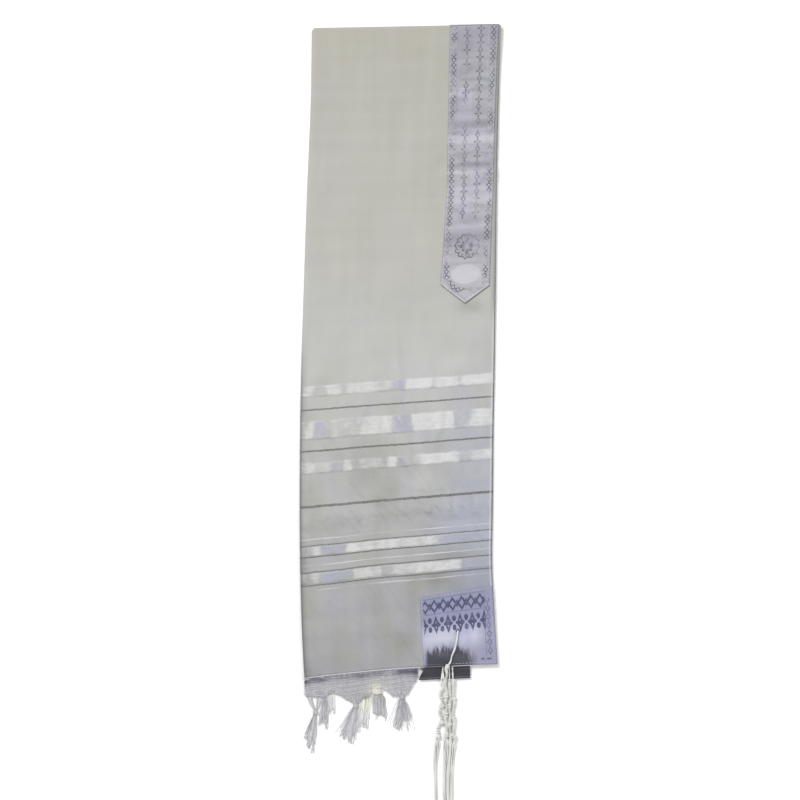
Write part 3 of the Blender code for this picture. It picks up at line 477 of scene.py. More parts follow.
def around_eyelet(points, quads):
    """The quads but for those of the top layers whose middle lies in the eyelet."""
    middle = points.reshape(-1, 3)[quads].mean(axis=1)
    away = np.hypot(middle[:, 0] - EYELET[0], middle[:, 1] - EYELET[1])
    return quads[(away > EYELET_RADIUS) | (middle[:, 2] < FRONT_TOP / 2)]


def front_rim(from_edge, roll, down):
    """Tone of the front half's edges, dark below 0: darker along the selvedge above, a pale line just
    inside it below, and painted shade where the long fold rolls under, in its lower part."""
    above = -0.38 * np.exp(-(from_edge / (4.0 * MM)) ** 2)
    below = 0.9 * np.exp(-((from_edge - 1.5 * MM) / (0.8 * MM)) ** 2)
    share = smooth_share(((down - 0.33) / 0.06).clip(0, 1))
    # Painted shade on the rolled lower part of the long fold.
    fold = -0.85 * abs(np.sin(roll)) ** 1.3 * smooth_share(((down - 0.35) / 0.11).clip(0, 1))
    return above * (1 - share) + below * share + fold


def back_edge_shade(from_edge, *_):
    """Painted shade along the back half's selvedge, which lies in the shadow of the front half."""
    return -0.5 * np.exp(-(from_edge / (1.3 * MM)) ** 2)


def walled(piece, thickness):
    """A sheet given its thickness, half to each side."""
    wall = piece.modifiers.new("thickness", "SOLIDIFY")
    wall.thickness, wall.offset = thickness, 0.0
    return piece


def placed(piece, slot, *nodes):
    """A piece that rides on the shawl's one body, in the place of the plain solids named."""
    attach(piece, "root")
    if nodes:
        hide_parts(*nodes)
    return piece


def fold_sheet(name, columns, rows, finish, rim):
    """One half of the cloth as a shell. columns are (lower steps, roll steps, upper steps), and
    rows are (distances down, turns), equally many of each."""
    lower, rolled, upper = columns
    shares = np.concatenate([np.linspace(1, ROLL_SHARE, lower + 1), np.full(rolled - 1, ROLL_SHARE),
                             np.linspace(ROLL_SHARE, 1, upper + 1)])
    rolls = np.concatenate([np.full(lower, np.pi), np.linspace(np.pi, 0, rolled + 1), np.zeros(upper)])
    down, turn = (np.asarray(row, float)[:, None] for row in rows)
    across, down, turn, roll = np.broadcast_arrays(shares, down, turn, rolls)
    points = cloth_places(across, roll, down, turn)
    width = outline("x_right", down) - outline("x_left", down)
    upper_side = np.cos(roll).clip(0, 1)
    # gleam is painted satin sheen, selvedge the edges' tone with painted shade, and the last mark painted
    # shade and light where the cloth dips.
    marks = {"gleam": satin_gleams(across * width, down) * upper_side,
             "selvedge": rim((1 - across) * width, roll, down),
             "cloud": painted_shading_at(points[..., 0], points[..., 1]) * upper_side}
    quads = around_eyelet(points, net(*across.shape))
    piece = make_mesh(name, points, [quads], finish, across * width * np.cos(roll), down, marks)
    return walled(piece, CLOTH_WALL)


# Woven stripes, by the distance of their middle down from the top fold and their width, in
# millimetres.
SATIN_BANDS = ((430.1, 12.2), (476.2, 21.0), (521.2, 12.3), (620.1, 11.0), (652.3, 11.6))
SILVER_LINES = ((451.9, 1.9), (500.9, 2.2), (566.8, 3.0), (613.3, 1.5), (626.6, 1.5), (644.6, 1.5),
                (660.2, 1.5))
WHITE_LINES = ((605.5, 1.1), (636.4, 1.1), (665.8, 1.1))
THREAD_PITCH = 0.8 * MM

# Painted sheen: stretches of the satin bands painted as catching the light, or turning from it, in
# millimetres from the long fold. Between them the satin is hardly brighter than the wool.
Gleam = namedtuple("Gleam", "band start end strength")
PLAIN_SATIN = 0.38
GLEAMS = [Gleam(band, *row) for band, rows in enumerate((
    ((7, 16, 0.75), (18, 29, 0.32), (31, 48, 0.75), (49, 56, 0.32), (58, 92, 0.88), (93, 100, 0.32),
     (101, 108, 0.55), (109, 123, 0.0), (125, 154, 1.0), (160, 186, 0.95), (191, 227, 1.0)),
    ((8, 16, 0.85), (18, 33, 0.12), (36, 44, 0.60), (50, 66, 0.38), (73, 109, 0.85), (111, 131, 0.0),
     (133, 182, 0.95), (184, 198, 0.25), (201, 227, 0.95)),
    ((8, 18, 0.75), (26, 36, 0.50), (38, 50, 0.30), (52, 62, 0.85), (63, 69, 0.30), (70, 93, 0.72),
     (104, 116, 0.95), (118, 134, 0.2), (142, 187, 0.95), (189, 201, 0.3), (204, 227, 0.9)),
    ((15, 24, 0.85), (26, 52, 0.1), (55, 120, 0.9), (120, 168, 0.75), (172, 227, 0.12)),
    ((14, 23, 0.85), (26, 58, 0.05), (63, 96, 0.9), (98, 110, 0.35), (112, 190, 0.88), (192, 210, 0.0),
     (212, 227, 0.3)),
)) for row in rows]


# Painted shade (below 0) and painted light: broad stretches where the cloth dips or lies higher,
# painted duller or brighter than the rest of the wool, such as the shadow below the neckband's
# point. Their middles on the table and their reaches, in millimetres.
PaintedShading = namedtuple("PaintedShading", "x y reach_x reach_y strength")
PAINTED_SHADINGS = [PaintedShading(*row) for row in (
    (-36, -138, 24, 32, -1.4), (-8, -166, 11, 12, -1.2), (20, -32, 34, 18, 0.6), (28, -59, 26, 16, 0.9),
    (70, -15, 28, 12, 1.1), (14, -107, 14, 18, 1.0), (28, -155, 22, 16, 1.3), (85, 52, 16, 8, -1.7),
    (6, -349, 14, 14, -1.6), (-27, -297, 14, 26, -1.0), (46, -270, 26, 13, -2.3),
    (62, -243, 32, 10, -1.9), (19, -300, 8, 32, -1.5), (36, -209, 16, 5, -0.7),
    (-22, -178, 10, 6, -1.2), (-2, -186, 13, 14, -1.0),
)]


def painted_shading_at(x, y):
    """Painted shade and light summed, each its strength times exp(-(x/reach)^2 - (y/reach)^2)."""
    total = np.zeros_like(x)
    for cloud in PAINTED_SHADINGS:
        away = ((x / MM - cloud.x) / cloud.reach_x) ** 2 + ((y / MM - cloud.y) / cloud.reach_y) ** 2
        total += cloud.strength * np.exp(-away)
    return total


def satin_gleams(across, down):
    """How bright the satin's painted sheen is, from 0 to 1: each stretch of the nearest band pulls it
    towards its strength, with soft ends that slant across the band."""
    total = np.full_like(across, PLAIN_SATIN)
    middles = np.array([band[0] for band in SATIN_BANDS])
    nearest = np.argmin(abs(down[..., None] / MM - middles), axis=-1)
    slant = 0.22 * (down / MM - middles[nearest])
    for k, gleam in enumerate(GLEAMS):
        soft = 7.5 + 4.0 * math.sin(2.1 * k)
        place = across / MM + slant * math.cos(1.7 * k)
        inside = (smooth_share(np.clip((place - gleam.start) / soft + 0.5, 0, 1))
                  * smooth_share(np.clip((gleam.end - place) / soft + 0.5, 0, 1)))
        total += (gleam.strength - total) * inside * (nearest == gleam.band)
    return total


def stripes(down, rows, soft):
    """1 on each stripe of a table of middles and widths in millimetres, with edges that soft."""
    total = None
    for middle, width in rows:
        mask = (down - middle * MM).within(width * MM / 2, soft)
        total = mask if total is None else total.most(mask)
    return total


def cloth_finish():
    """Fine plain weave in cream wool, greyer towards the ends, with its satin bands and lines. Sheen on
    the satin, and shade and light where the cloth folds, dips and puckers, are painted.
    """
    finish = Finish("cream_wool", Sheen_Weight=0.12, Sheen_Roughness=0.6)
    uv, across, down = finish.cloth_map()
    drift = (finish.noise(16.0, 1.0, (1.0, 0.3, 1.0), uv) - 0.5) * 1.8 * MM
    down = down + drift + (finish.noise(190.0, 1.0, (1.0, 0.2, 1.0), uv) - 0.5) * 1.2 * MM
    worn = down.rising(0.36, 0.12)
    lilac = finish.noise(17.0, 2.0, (1.0, 0.7, 1.0)).spots(2.6, 1.15)
    olive = finish.noise(23.0, 2.0, (1.0, 0.6, 1.0), uv).spots(2.6, 1.15)
    painted_fold_shade = abs(across).falling(9 * MM, 9 * MM) * down.rising(0.34, 0.06)
    low_end = (down - 0.632).within(24 * MM, 18 * MM).most(down.rising(0.742, 14 * MM))
    bluish = across.rising(0.14, 0.06) * down.rising(0.46, 0.10)
    far = across.rising(0.13, 0.08) * down.rising(0.63, 0.05)
    cloud = finish.mark("cloud")
    slanting = finish.node("CombineXYZ", {}, across - down * 0.7, (across + down * 0.9) * 0.45)
    painted_pucker_streaks = finish.noise(52.0, 3.0, (1.0, 0.32, 1.0), slanting)
    rucked = (down - 0.584).within(9 * MM, 18 * MM) * across.rising(0.02, 0.08)
    slubs = finish.noise(60.0, 3.0, (0.05, 1.0, 1.0), uv) + finish.noise(60.0, 3.0, (1.0, 0.08, 1.0), uv)
    ground = finish.ramp(
        down / LENGTH, (0.0, (160, 158, 148)), (0.35, (168, 167, 160)), (0.52, (174, 174, 171)),
        (0.68, (168, 168, 167)), (0.80, (161, 161, 162)), (0.90, (156, 156, 157)), (1.0, (149, 148, 151)))
    ground = finish.coats(
        ground,
        (lilac * (0.20 + worn * 0.38), (158, 159, 178)),
        (olive * (0.18 + worn * 0.46), (146, 147, 131)),
        # Painted shade by the long fold in the lower part, deeper towards its lower end.
        (painted_fold_shade * (0.45 + down.rising(0.60, 0.03) * 0.3), (122, 118, 110)),
        (abs(across).falling(13 * MM, 13 * MM) * low_end * 0.5, (104, 101, 98)),
        (bluish * 0.45, (158, 163, 184)),
        (far * 0.75, (136, 140, 155)),
        # Painted shade and painted light where the cloth dips or lies higher.
        ((cloud * -0.3).held(), (128, 129, 119)),
        ((cloud * 0.22).held(), (205, 205, 204)),
        # Painted shade and painted highlight of the puckers below the wide silver line.
        (painted_pucker_streaks.spots(4.0, 2.1) * rucked * 0.42, (128, 130, 134)),
        ((1.5 - painted_pucker_streaks * 4.0).held() * rucked * 0.4, (196, 197, 198)),
        ((slubs - 0.8) * 0.35, (188, 187, 181)))
    ragged = down + (finish.noise(110.0, 2.0, (1.0, 0.4, 1.0), uv) - 0.5) * 2.2 * MM
    satin = stripes(ragged, SATIN_BANDS, 2.6 * MM)
    white = stripes(down, WHITE_LINES, 0.8 * MM)
    silver = stripes(down, SILVER_LINES, 0.8 * MM)
    floats = finish.noise(420.0, 2.0, (0.05, 1.0, 1.0), uv)
    cockle = finish.noise(75.0, 2.0, (1.0, 0.5, 1.0), uv)
    specks = finish.noise(300.0, 2.0, (0.4, 1.0, 1.0), uv)
    glint = finish.noise(520.0, 2.0, (1.0, 0.5, 1.0), uv)
    # Painted sheen: the gleam mark, stirred by noise, lights the satin in stretches and glints.
    gleam = (finish.mark("gleam") + (cockle - 0.5) * 1.1 + (specks - 0.5) * 0.7).held()
    bright = gleam.rising(0.36, 0.72)
    shine = finish.coats(
        ground,
        (gleam.falling(0.32, 0.30) * 0.75, (155, 156, 175)),
        ((bright * 1.1).held(), (196, 197, 196)),
        (((floats - 0.35) * (0.15 + bright * 0.75)).held(), (216, 216, 216)))
    selvedge = finish.mark("selvedge")
    colour = finish.coats(
        finish.mix(satin * 0.9, ground, shine),
        (white * ((floats - 0.36) * 3.2).held(), (204, 204, 207)),
        ((silver * (0.42 + glint * 0.85)).held(), (90, 90, 89)),
        # The selvedge mark: a pale line, a darker selvedge above, and painted shade along the long fold and
        # the back half's selvedge.
        (selvedge.held() * 0.7, (204, 204, 210)),
        ((0.0 - selvedge).held(), (84, 84, 92)))
    rough = 0.86 - satin * 0.40 - silver * 0.35
    over = (across * (2 * math.pi / THREAD_PITCH)).maths("SINE")
    under = (down * (2 * math.pi / THREAD_PITCH)).maths("SINE")
    weave = over * under
    fibres = finish.noise(900.0, 1.0, (1.0, 0.06, 1.0), uv) + finish.noise(900.0, 1.0, (0.06, 1.0, 1.0), uv)
    plain = 1.0 - satin * 0.8
    height = (fibres + weave * 0.35) * plain + satin * (0.5 + floats * 0.6) + silver * 0.5
    drawn_in = (down - 0.582).within(9 * MM, 14 * MM) * finish.noise(95.0, 2.0, (1, 1, 1), slanting)
    crumple = finish.noise(58.0, 3.0, (1.0, 0.6, 1.0), slanting) * (0.25 + worn * 0.75)
    swell = crumple * 3.7 * MM + drawn_in * 3.2 * MM + satin * cockle * 1.7 * MM
    return finish.ends(colour, rough, height, 0.07 * MM, swell)


CLOTH = cloth_finish()
ROLL_TURNS = np.linspace(np.pi, 0, 13)
FRONT_STEPS = ((0.150, 30), (0.190, 14), (0.400, 46), (0.540, 76), (0.600, 48), (0.680, 34), (LENGTH, 34))
front_down = np.concatenate([[TUCK], np.full(12, TOP_REACH), spaced(TOP_REACH, FRONT_STEPS)])
front_turn = np.concatenate([[np.pi], ROLL_TURNS, np.zeros(len(front_down) - 14)])
front = fold_sheet("shawl_front_half", (14, 8, 144), (front_down, front_turn), CLOTH, front_rim)
placed(front, "cloth", "shawl_front")

back_down = spaced(TUCK, ((0.680, 60), (LENGTH, 46)))
back_turn = np.full(len(back_down), np.pi)
back = fold_sheet("shawl_back_half", (40, 8, 90), (back_down, back_turn), CLOTH, back_edge_shade)
placed(back, "cloth", "shawl_folded_layers")


# ---------------------------------------------------------------- neckband
# A ribbon of lilac-white satin, woven with a chain border and small flowers, that marks the
# neck. It is sewn flat on the middle of one long edge, so half of it shows: it comes round
# the top fold and ends in a point.

BAND_WALL = 0.55 * MM
BAND_LIFT = CLOTH_WALL / 2 + BAND_WALL / 2 + 0.1 * MM
BAND_TURN = math.radians(118)
BAND_HALF = 28.8 * MM
BAND_END, BAND_TILT, BAND_POINT = 301.4 * MM, 15.8 * MM, 21.9 * MM
BAND_TIP = BAND_END + 0.86 * BAND_TILT + BAND_POINT
BAND_FLOWERS_END, BAND_ROSETTE, BAND_ROUND_FROM, BAND_OVAL = 0.236, 0.268, 0.298, 0.3015
BORDER_RADIUS, LINK, LINK_TURN = 23.4 * MM, 6.4 * MM, 21 * MM
FLOWER_COLUMN, FLOWER_PITCH = 8.0 * MM, 17.2 * MM
BAND_PUCKERS = [Crease(*row) for row in (
    (50, 336, 118, 339, 1, 3.0, 0.5), (50, 324, 118, 330, -1, 3.4, -0.4),
    (60, 262, 118, 270, 2, 4.0, 0.5), (52, 214, 118, 216, 1, 3.0, -0.6),
    (52, 205, 118, 207, 1, 3.2, 0.6), (56, 140, 112, 146, 2, 3.6, 0.5),
    (54, 150, 108, 152, -2, 3.0, -0.4), (60, 100, 100, 104, 1, 4.0, 0.4),
)]


def band_share(side, down):
    """Share of the width at the ribbon's left (0) or right (1) edge."""
    edges = ((0.732, 0.741, 0.717), (0.990, 0.984, 0.970))[side]
    return np.interp(down, (0.0, 0.202, 0.314), edges)


def band_places(p, q, lift=BAND_LIFT):
    """Points of the ribbon: p crosses it from 0 to 1; q from -1 to 0 comes round the top fold
    and from 0 to 1 runs to its end, where the rows bend into a point. Its middle swells."""
    middle = band_share(0, 0.15) + (band_share(1, 0.15) - band_share(0, 0.15)) * p
    end = BAND_END + BAND_TILT * middle + BAND_POINT * (1 - abs(2 * p - 1))
    down = TOP_REACH + (end - TOP_REACH) * q.clip(0, 1)
    across = band_share(0, down) + (band_share(1, down) - band_share(0, down)) * p
    x, y = plan(across, down)
    swell = 0.35 * MM * np.sin(np.pi * p) ** 0.7 + 0.9 * MM * q.clip(0, 1) ** 9
    puckers = relief(x, y, BAND_PUCKERS, 0.5) * np.sin(np.pi * p).clip(0, 1) ** 0.5
    turn = (-q).clip(0, 1) * BAND_TURN
    places = cloth_places(across, np.zeros_like(p), down, turn, lift)
    places[..., 2] += (swell + puckers) * np.cos(turn).clip(0, 1)
    return places, down - (-q).clip(0, 1) * 9 * MM


def crossed(shape, *values):
    """Values spread over a rows x columns grid."""
    return [np.broadcast_to(value, shape).astype(float) for value in values]


def lozenge(one, other, wide, tall, line):
    """Mask of a lozenge's outline: |one|/wide + |other|/tall is 1 on it."""
    return (abs(one) / wide + abs(other) / tall - 1.0).within(line, 0.12)


def flower(one, other, reach):
    """Mask of four petals: 1 where the distance is under reach times |cos 2a|, a the angle."""
    one, other = one / reach, other / reach
    plus, minus = one * one + other * other, one * one - other * other
    return ((minus * minus / (plus * plus * plus + 0.001) - 1.0) * 3.0).held()


def band_finish():
    """Satin with a lacy chain border that rounds the end, two columns of small flowers in the middle,
    and one rosette. The pattern threads are painted as catching the light unevenly. The satin has
    painted sheen, painted shade in its bars, creases, wrinkles and over the top fold, and a painted
    highlight and shadow along its point."""
    finish = Finish("neckband_satin", Sheen_Weight=0.1)
    uv, across, down = finish.cloth_map()
    frayed = (finish.noise(700.0, 1.0) - 0.5) * 1.1 * MM
    across, down = across + frayed, down - frayed
    past = (down - BAND_ROUND_FROM).most(0.0)
    radius = (across * across + past * past).maths("SQRT")
    along = down.least(BAND_ROUND_FROM) + past.maths("ARCTAN2", abs(across)) * LINK_TURN
    beside = radius - BORDER_RADIUS
    cell, gap = along.each(LINK), (along + LINK / 2).each(LINK)
    chain = lozenge(beside, cell, 2.6 * MM, 2.7 * MM, 0.34)
    chain = chain.most((abs(beside) - abs(gap)).within(0.55 * MM, 0.3 * MM)
                       * beside.within(2.2 * MM, 0.3 * MM) * gap.within(2.2 * MM, 0.3 * MM))
    chain = chain.most((abs(beside) - 3.7 * MM).within(0.3 * MM, 0.3 * MM) * 0.5)
    lace = finish.noise(520.0, 2.0, (1.0, 1.0, 1.0), uv).spots(3.2, 1.3) * beside.within(3.6 * MM, 1.5 * MM)
    scallop = ((beside - 4.6 * MM) * (beside - 4.6 * MM) + gap * gap).maths("SQRT")
    chain = chain.most((scallop - 2.0 * MM).within(0.35 * MM, 0.3 * MM) * 0.6)
    column = abs(across) - FLOWER_COLUMN
    row = (down + across.maths("SIGN") * 4.3 * MM).each(FLOWER_PITCH)
    bud_row = (down + FLOWER_PITCH / 2 + across.maths("SIGN") * 4.3 * MM).each(FLOWER_PITCH)
    inside = down.falling(BAND_FLOWERS_END, 2 * MM)
    flowers = flower(column, row, 5.0 * MM)
    flowers = flowers.most(lozenge(column, bud_row, 2.6 * MM, 3.6 * MM, 0.34)) * inside
    stem = (column + (row / 2.4 / MM).maths("SINE") * 0.9 * MM).within(0.35 * MM, 0.4 * MM) * inside
    heart_y = down - BAND_ROSETTE
    rosette = flower(across, heart_y, 10.5 * MM)
    rosette = rosette.most(flower((across + heart_y) * 0.707, (across - heart_y) * 0.707, 9.0 * MM))
    from_heart = (across * across + heart_y * heart_y).maths("SQRT")
    petals = heart_y.maths("ARCTAN2", across)
    scalloped = from_heart - 14.0 * MM - (petals * 12.0).maths("SINE") * 0.9 * MM
    rosette = rosette.most(scalloped.within(0.9 * MM, 0.5 * MM))
    beads = (petals * 16.0).maths("SINE").most(0.0) * (from_heart - 11.8 * MM).within(0.8 * MM, 0.6 * MM)
    rosette = rosette.most((from_heart - 10.6 * MM).within(0.3 * MM, 0.5 * MM) * 0.7).most(beads)
    from_oval = (across * across + (down - BAND_OVAL) * (down - BAND_OVAL) * 2.2).maths("SQRT")
    lane = ((across + 17 * MM) / (17 * MM)).maths("FLOOR")
    step = ((down + lane * 8 * MM) / (19 * MM)).maths("FLOOR")
    block = finish.node("TexWhiteNoise", {}, finish.node("CombineXYZ", {}, lane, step))
    middle = across.within(18 * MM, 1 * MM) * down.falling(0.283, 4 * MM)
    sheen = finish.noise(21.0, 2.0, (0.35, 1.0, 1.0), uv)
    bars = finish.noise(120.0, 2.0, (0.12, 1.0, 1.0), uv)
    painted_crease_shade = stripes(down, ((120, 9), (170, 7), (257, 10)), 6 * MM)
    pale = stripes(down, ((138, 12), (178, 2.6), (206, 20)), 5 * MM)
    painted_wrinkle_shade = abs(finish.noise(15.0, 2.0, (0.45, 1.0, 1.0), uv) - 0.5).falling(0.02, 0.02)
    lit = down.rising(0.284, 18 * MM)
    fold_edge_shade = (down + 1.2 * MM).within(1.6 * MM, 1.2 * MM)
    to_point = (BAND_TIP + across * 0.07 - abs(across) * 0.76 - down) * 0.8
    ground = finish.coats(
        finish.ramp(down / 0.33, (0.0, (139, 138, 146)), (0.2, (143, 142, 150)), (0.6, (156, 155, 162)),
                    (1.0, (161, 160, 168))),
        # Painted sheen in blocks and patches over the satin.
        ((block * 2.0 - 1.0).held() * middle * 0.65, (163, 162, 179)),
        ((0.8 - block * 2.0).held() * middle * 0.5, (142, 142, 145)),
        (sheen.spots(3.4, 1.4) * 0.5, (184, 184, 190)),
        ((1.4 - sheen * 3.4).held() * 0.5, (124, 123, 133)),
        # Painted shade in bars across the satin where it crinkles; the same bars raise its bump.
        (bars.spots(3.2, 1.6) * 0.5, (114, 113, 122)),
        # Painted shade along the creases.
        (painted_crease_shade * (0.1 + sheen * 0.8), (112, 111, 122)),
        # Painted shade in thin wrinkle lines.
        (painted_wrinkle_shade * bars * 0.6, (118, 117, 130)),
        # Painted highlight below the creases.
        (pale * (0.3 + sheen * 0.5), (182, 181, 190)),
        (from_oval.within(17.5 * MM, 3 * MM) * (0.15 + lit * 0.35 + bars * 0.6), (186, 185, 191)),
        # Painted shade where the ribbon rounds over the top fold.
        (fold_edge_shade * (0.3 + sheen * 0.8), (84, 82, 98)),
        # Painted highlight just inside the edge of the pointed end.
        ((to_point - 1.5 * MM).within(0.7 * MM, 0.7 * MM) * 0.6, (205, 204, 210)))
    uneven = finish.noise(85.0, 2.0)
    # Painted light: the pattern threads show stronger or fainter by noise, as they catch the light
    # unevenly.
    worn = uneven.spots(4.8, 1.7) * (0.5 + finish.noise(650.0, 2.0) * 0.9)
    woven = chain.most(flowers * 0.75).most(stem * 0.4).most(rosette * 0.95)
    colour = finish.coats(
        ground,
        (lace * 0.38, (186, 186, 190)),
        ((lace - 0.5).held() * uneven * 0.9, (108, 107, 118)),
        ((woven * worn).held() * 0.88, (76, 75, 90)),
        # Painted shadow along the edge of the pointed end.
        (to_point.falling(0.6 * MM, 0.6 * MM) * 0.8, (66, 64, 78)))
    fibres = finish.noise(1400.0, 1.0, (0.08, 1.0, 1.0), uv)
    swell = sheen * 1.2 * MM + bars * 0.5 * MM
    return finish.ends(colour, 0.42 + woven * 0.25, fibres * 0.5 + woven * 0.9, 0.07 * MM, swell)


q_rows = np.concatenate([np.linspace(-1, 0, 12)[:-1], np.linspace(0, 1, 150)])[:, None]
p, q = crossed((len(q_rows), 41), np.linspace(0, 1, 41), q_rows)
points, down = band_places(p, q)
neckband = make_mesh("neckband_satin", points, [net(*p.shape)], band_finish(),
                     across=(2 * p - 1) * BAND_HALF, along=down)
placed(walled(neckband, BAND_WALL), "satin", "neckband")


# ---------------------------------------------------------------- corner patches
# A square of lilac satin strengthens each corner, where the corner tassel is threaded through
# an eyelet. The front one shows whole, and a dark strip of a hidden one shows below the hem.

PATCH_WALL = 0.55 * MM
PATCH_LEFT, PATCH_RIGHT = 0.620, 0.998
PATCH_WIDE, PATCH_TALL = 87 * MM, 82 * MM
TOP_ROW, LOW_ROW = 13.0 * MM, 34.5 * MM
PATCH_TOP, PATCH_TILT = 698.8 * MM, 18.8 * MM


def patch_places(p, q, lift):
    """Points of the patch on the front layer: p from its left edge to the selvedge, q from its
    slanting top edge to the hem."""
    across = PATCH_LEFT + (PATCH_RIGHT - PATCH_LEFT) * p
    top = PATCH_TOP - PATCH_TILT * across
    down = top + (LENGTH - 0.3 * MM - top) * q
    return cloth_places(across, np.zeros_like(p), down, np.zeros_like(p), lift)


def patch_finish():
    """Lilac satin, with a painted highlight across its middle and painted sheen, woven with two rows of
    dark ornament and, along its foot, a bed of tall and short leaves that grows darker downwards."""
    finish = Finish("patch_satin", Sheen_Weight=0.1)
    uv, across, down = finish.cloth_map()
    frayed = (finish.noise(500.0, 1.0) - 0.5) * 1.2 * MM
    across, down = across + frayed, down - frayed
    sheen = finish.noise(42.0, 3.0, (1.0, 0.8, 1.0), uv)
    ground = finish.coats(
        # Painted highlight across the middle, and painted sheen in patches.
        finish.ramp(down / PATCH_TALL, (0.0, (134, 136, 160)), (0.36, (135, 138, 163)),
                    (0.52, (178, 180, 200)), (0.62, (188, 190, 206)), (0.80, (152, 152, 172)),
                    (1.0, (140, 140, 160))),
        (across.rising(62 * MM, 18 * MM) * 0.85, (138, 138, 160)),
        (sheen.spots(3.0, 1.3) * 0.6, (146, 147, 190)),
        ((1.2 - sheen * 3.0).held() * 0.4, (196, 196, 206)))
    top_row, low_row = down - TOP_ROW, down - LOW_ROW
    cell, between = across.each(11.0 * MM), (across + 5.5 * MM).each(11.0 * MM)
    big, bud = (across - 3 * MM).each(14.5 * MM), (across - 10.25 * MM).each(14.5 * MM)
    top = lozenge(cell, top_row, 4.4 * MM, 6.2 * MM, 0.32)
    top = top.most(lozenge(between, top_row, 1.6 * MM, 2.6 * MM, 0.8))
    low = flower(big, low_row, 9.2 * MM)
    low = low.most(lozenge(bud, low_row, 2.8 * MM, 7.8 * MM, 0.40))
    rules = (abs(top_row) - 8.8 * MM).within(0.45 * MM, 0.6 * MM)
    rows = top.most(low).most(rules * 0.5) * (across - 40 * MM).within(37 * MM, 1.5 * MM)
    side_row = lozenge(across - 80 * MM, down.each(9.0 * MM), 2.4 * MM, 3.4 * MM, 0.4)
    side_row = side_row.most((across - 75.5 * MM).within(0.4 * MM, 0.5 * MM))
    rows = rows.most(side_row * (down - 42 * MM).within(30 * MM, 2 * MM) * 0.5)
    tall = abs(across.each(9.6 * MM)) / (4.8 * MM)
    short = abs((across + 4 * MM).each(6.1 * MM)) / (3.05 * MM)
    bow = (abs(across - 29 * MM) / (27 * MM)).maths("POWER", 2.0) * 6 * MM
    stalks = finish.noise(420.0, 2.0, (1.0, 0.25, 1.0), uv)
    tips = down + (stalks - 0.5) * 12 * MM - bow
    tall_leaf = ((tips - 54 * MM - tall * tall * 8 * MM) / (8 * MM)).held()
    short_leaf = ((tips - 57 * MM - short * short * 5 * MM) / (6 * MM)).held()
    bed = across.rising(1 * MM, 5 * MM) * across.falling(66 * MM, 20 * MM)
    depth = down.rising(52 * MM, 24 * MM)
    leaves = tall_leaf * (0.30 + depth * 0.45) + short_leaf * (0.2 + depth * 0.35)
    leaves = (leaves * bed * (0.45 + stalks * 1.2)).held()
    dashes = ((down - 76 * MM).within(1.0 * MM, 0.6 * MM)
              * (across - 2 * MM).each(8.0 * MM).within(2.6 * MM, 0.6 * MM)
              * (across - 75.5 * MM).within(7.0 * MM, 1 * MM))
    worn = (0.45 + finish.noise(120.0, 2.0) * 1.0) * (0.6 + finish.noise(600.0, 2.0) * 0.9)
    colour = finish.coats(
        ground,
        ((rows * worn).held() * 0.92, (58, 59, 92)),
        (leaves * 0.95, (52, 52, 62)),
        (dashes * 0.8, (72, 72, 96)))
    fibres = finish.noise(1400.0, 1.0, (0.08, 1.0, 1.0), uv)
    return finish.ends(colour, 0.42 + rows * 0.25, fibres * 0.5 + rows * 0.8 + leaves * 0.5, 0.07 * MM)


p, q = crossed((96, 100), np.linspace(0, 1, 100), np.linspace(0, 1, 96)[:, None])
swell = 0.25 * MM * np.sin(np.pi * p) * np.sin(np.pi * q)
points = patch_places(p, q, CLOTH_WALL / 2 + PATCH_WALL / 2 + 0.1 * MM + swell)
patch = make_mesh("corner_patch_satin", points, [around_eyelet(points, net(*p.shape))], patch_finish(),
                  across=p * PATCH_WIDE, along=q * PATCH_TALL)
placed(walled(patch, PATCH_WALL), "patch_satin", "corner_patch_front")


def dark_finish():
    """The dark woven foot of the hidden patch, with a paler line along its edge and a painted
    highlight of satin sheen on its right part.
    """
    finish = Finish("dark_patch_satin", Roughness=0.45)
    across, down = finish.cloth_map()[1:]
    streaks = finish.noise(90.0, 3.0, (1.0, 0.25, 1.0))
    shine = across.rising(40 * MM, 16 * MM) * (down - 9.0 * MM).within(1.0 * MM, 2.0 * MM)
    rim = (down - 19.0 * MM).within(0.8 * MM, 0.8 * MM)
    # shine is a painted highlight.
    colour = finish.coats(tone(24, 25, 33), (streaks, (56, 56, 65)), (shine * 0.15, (110, 110, 120)),
                          (rim * 0.35, (120, 120, 130)))
    return finish.ends(colour, None, finish.noise(1400.0, 1.0, (0.08, 1.0, 1.0)), 0.05 * MM)


def across_hem(x):
    """Share of the cloth's width, along its hem, at a place x on the table."""
    return (x - OUTLINE[-1].x_left) / (OUTLINE[-1].x_right - OUTLINE[-1].x_left)


# The strip's ends across the table, its depth below the hem, and how far it tucks in above it.
UNDER_LEFT, UNDER_RIGHT = 24.2 * MM, 84.8 * MM
UNDER_DROP, UNDER_TUCK = 15.8 * MM, 5.0 * MM
UNDER_WIDE, UNDER_TALL = 58 * MM, 20.8 * MM

p, q = crossed((16, 60), np.linspace(0, 1, 60), np.linspace(0, 1, 16)[:, None])
depth = UNDER_TALL * q - UNDER_TUCK
left = UNDER_LEFT + 9.0 * MM * (1 - (depth / UNDER_DROP).clip(0, 1)) ** 1.6
x = left + (UNDER_RIGHT - left) * p
y = plan(across_hem(x), np.full_like(x, LENGTH))[1] - depth
z = 3.25 * MM + 0.25 * MM * np.sin(9 * p + 2.0) * q
under = make_mesh("corner_patch_hidden", np.stack([x, y, z], -1), [net(*p.shape)], dark_finish(),
                  across=p * UNDER_WIDE, along=q * UNDER_TALL)
placed(walled(under, PATCH_WALL), "dark_patch_satin", "corner_patch_under")


# ---------------------------------------------------------------- sewing
# Running stitches hold the neckband and the patch, a buttonhole stitch rims the eyelet, and a
# twined cord of thread closes the weave along the hem.

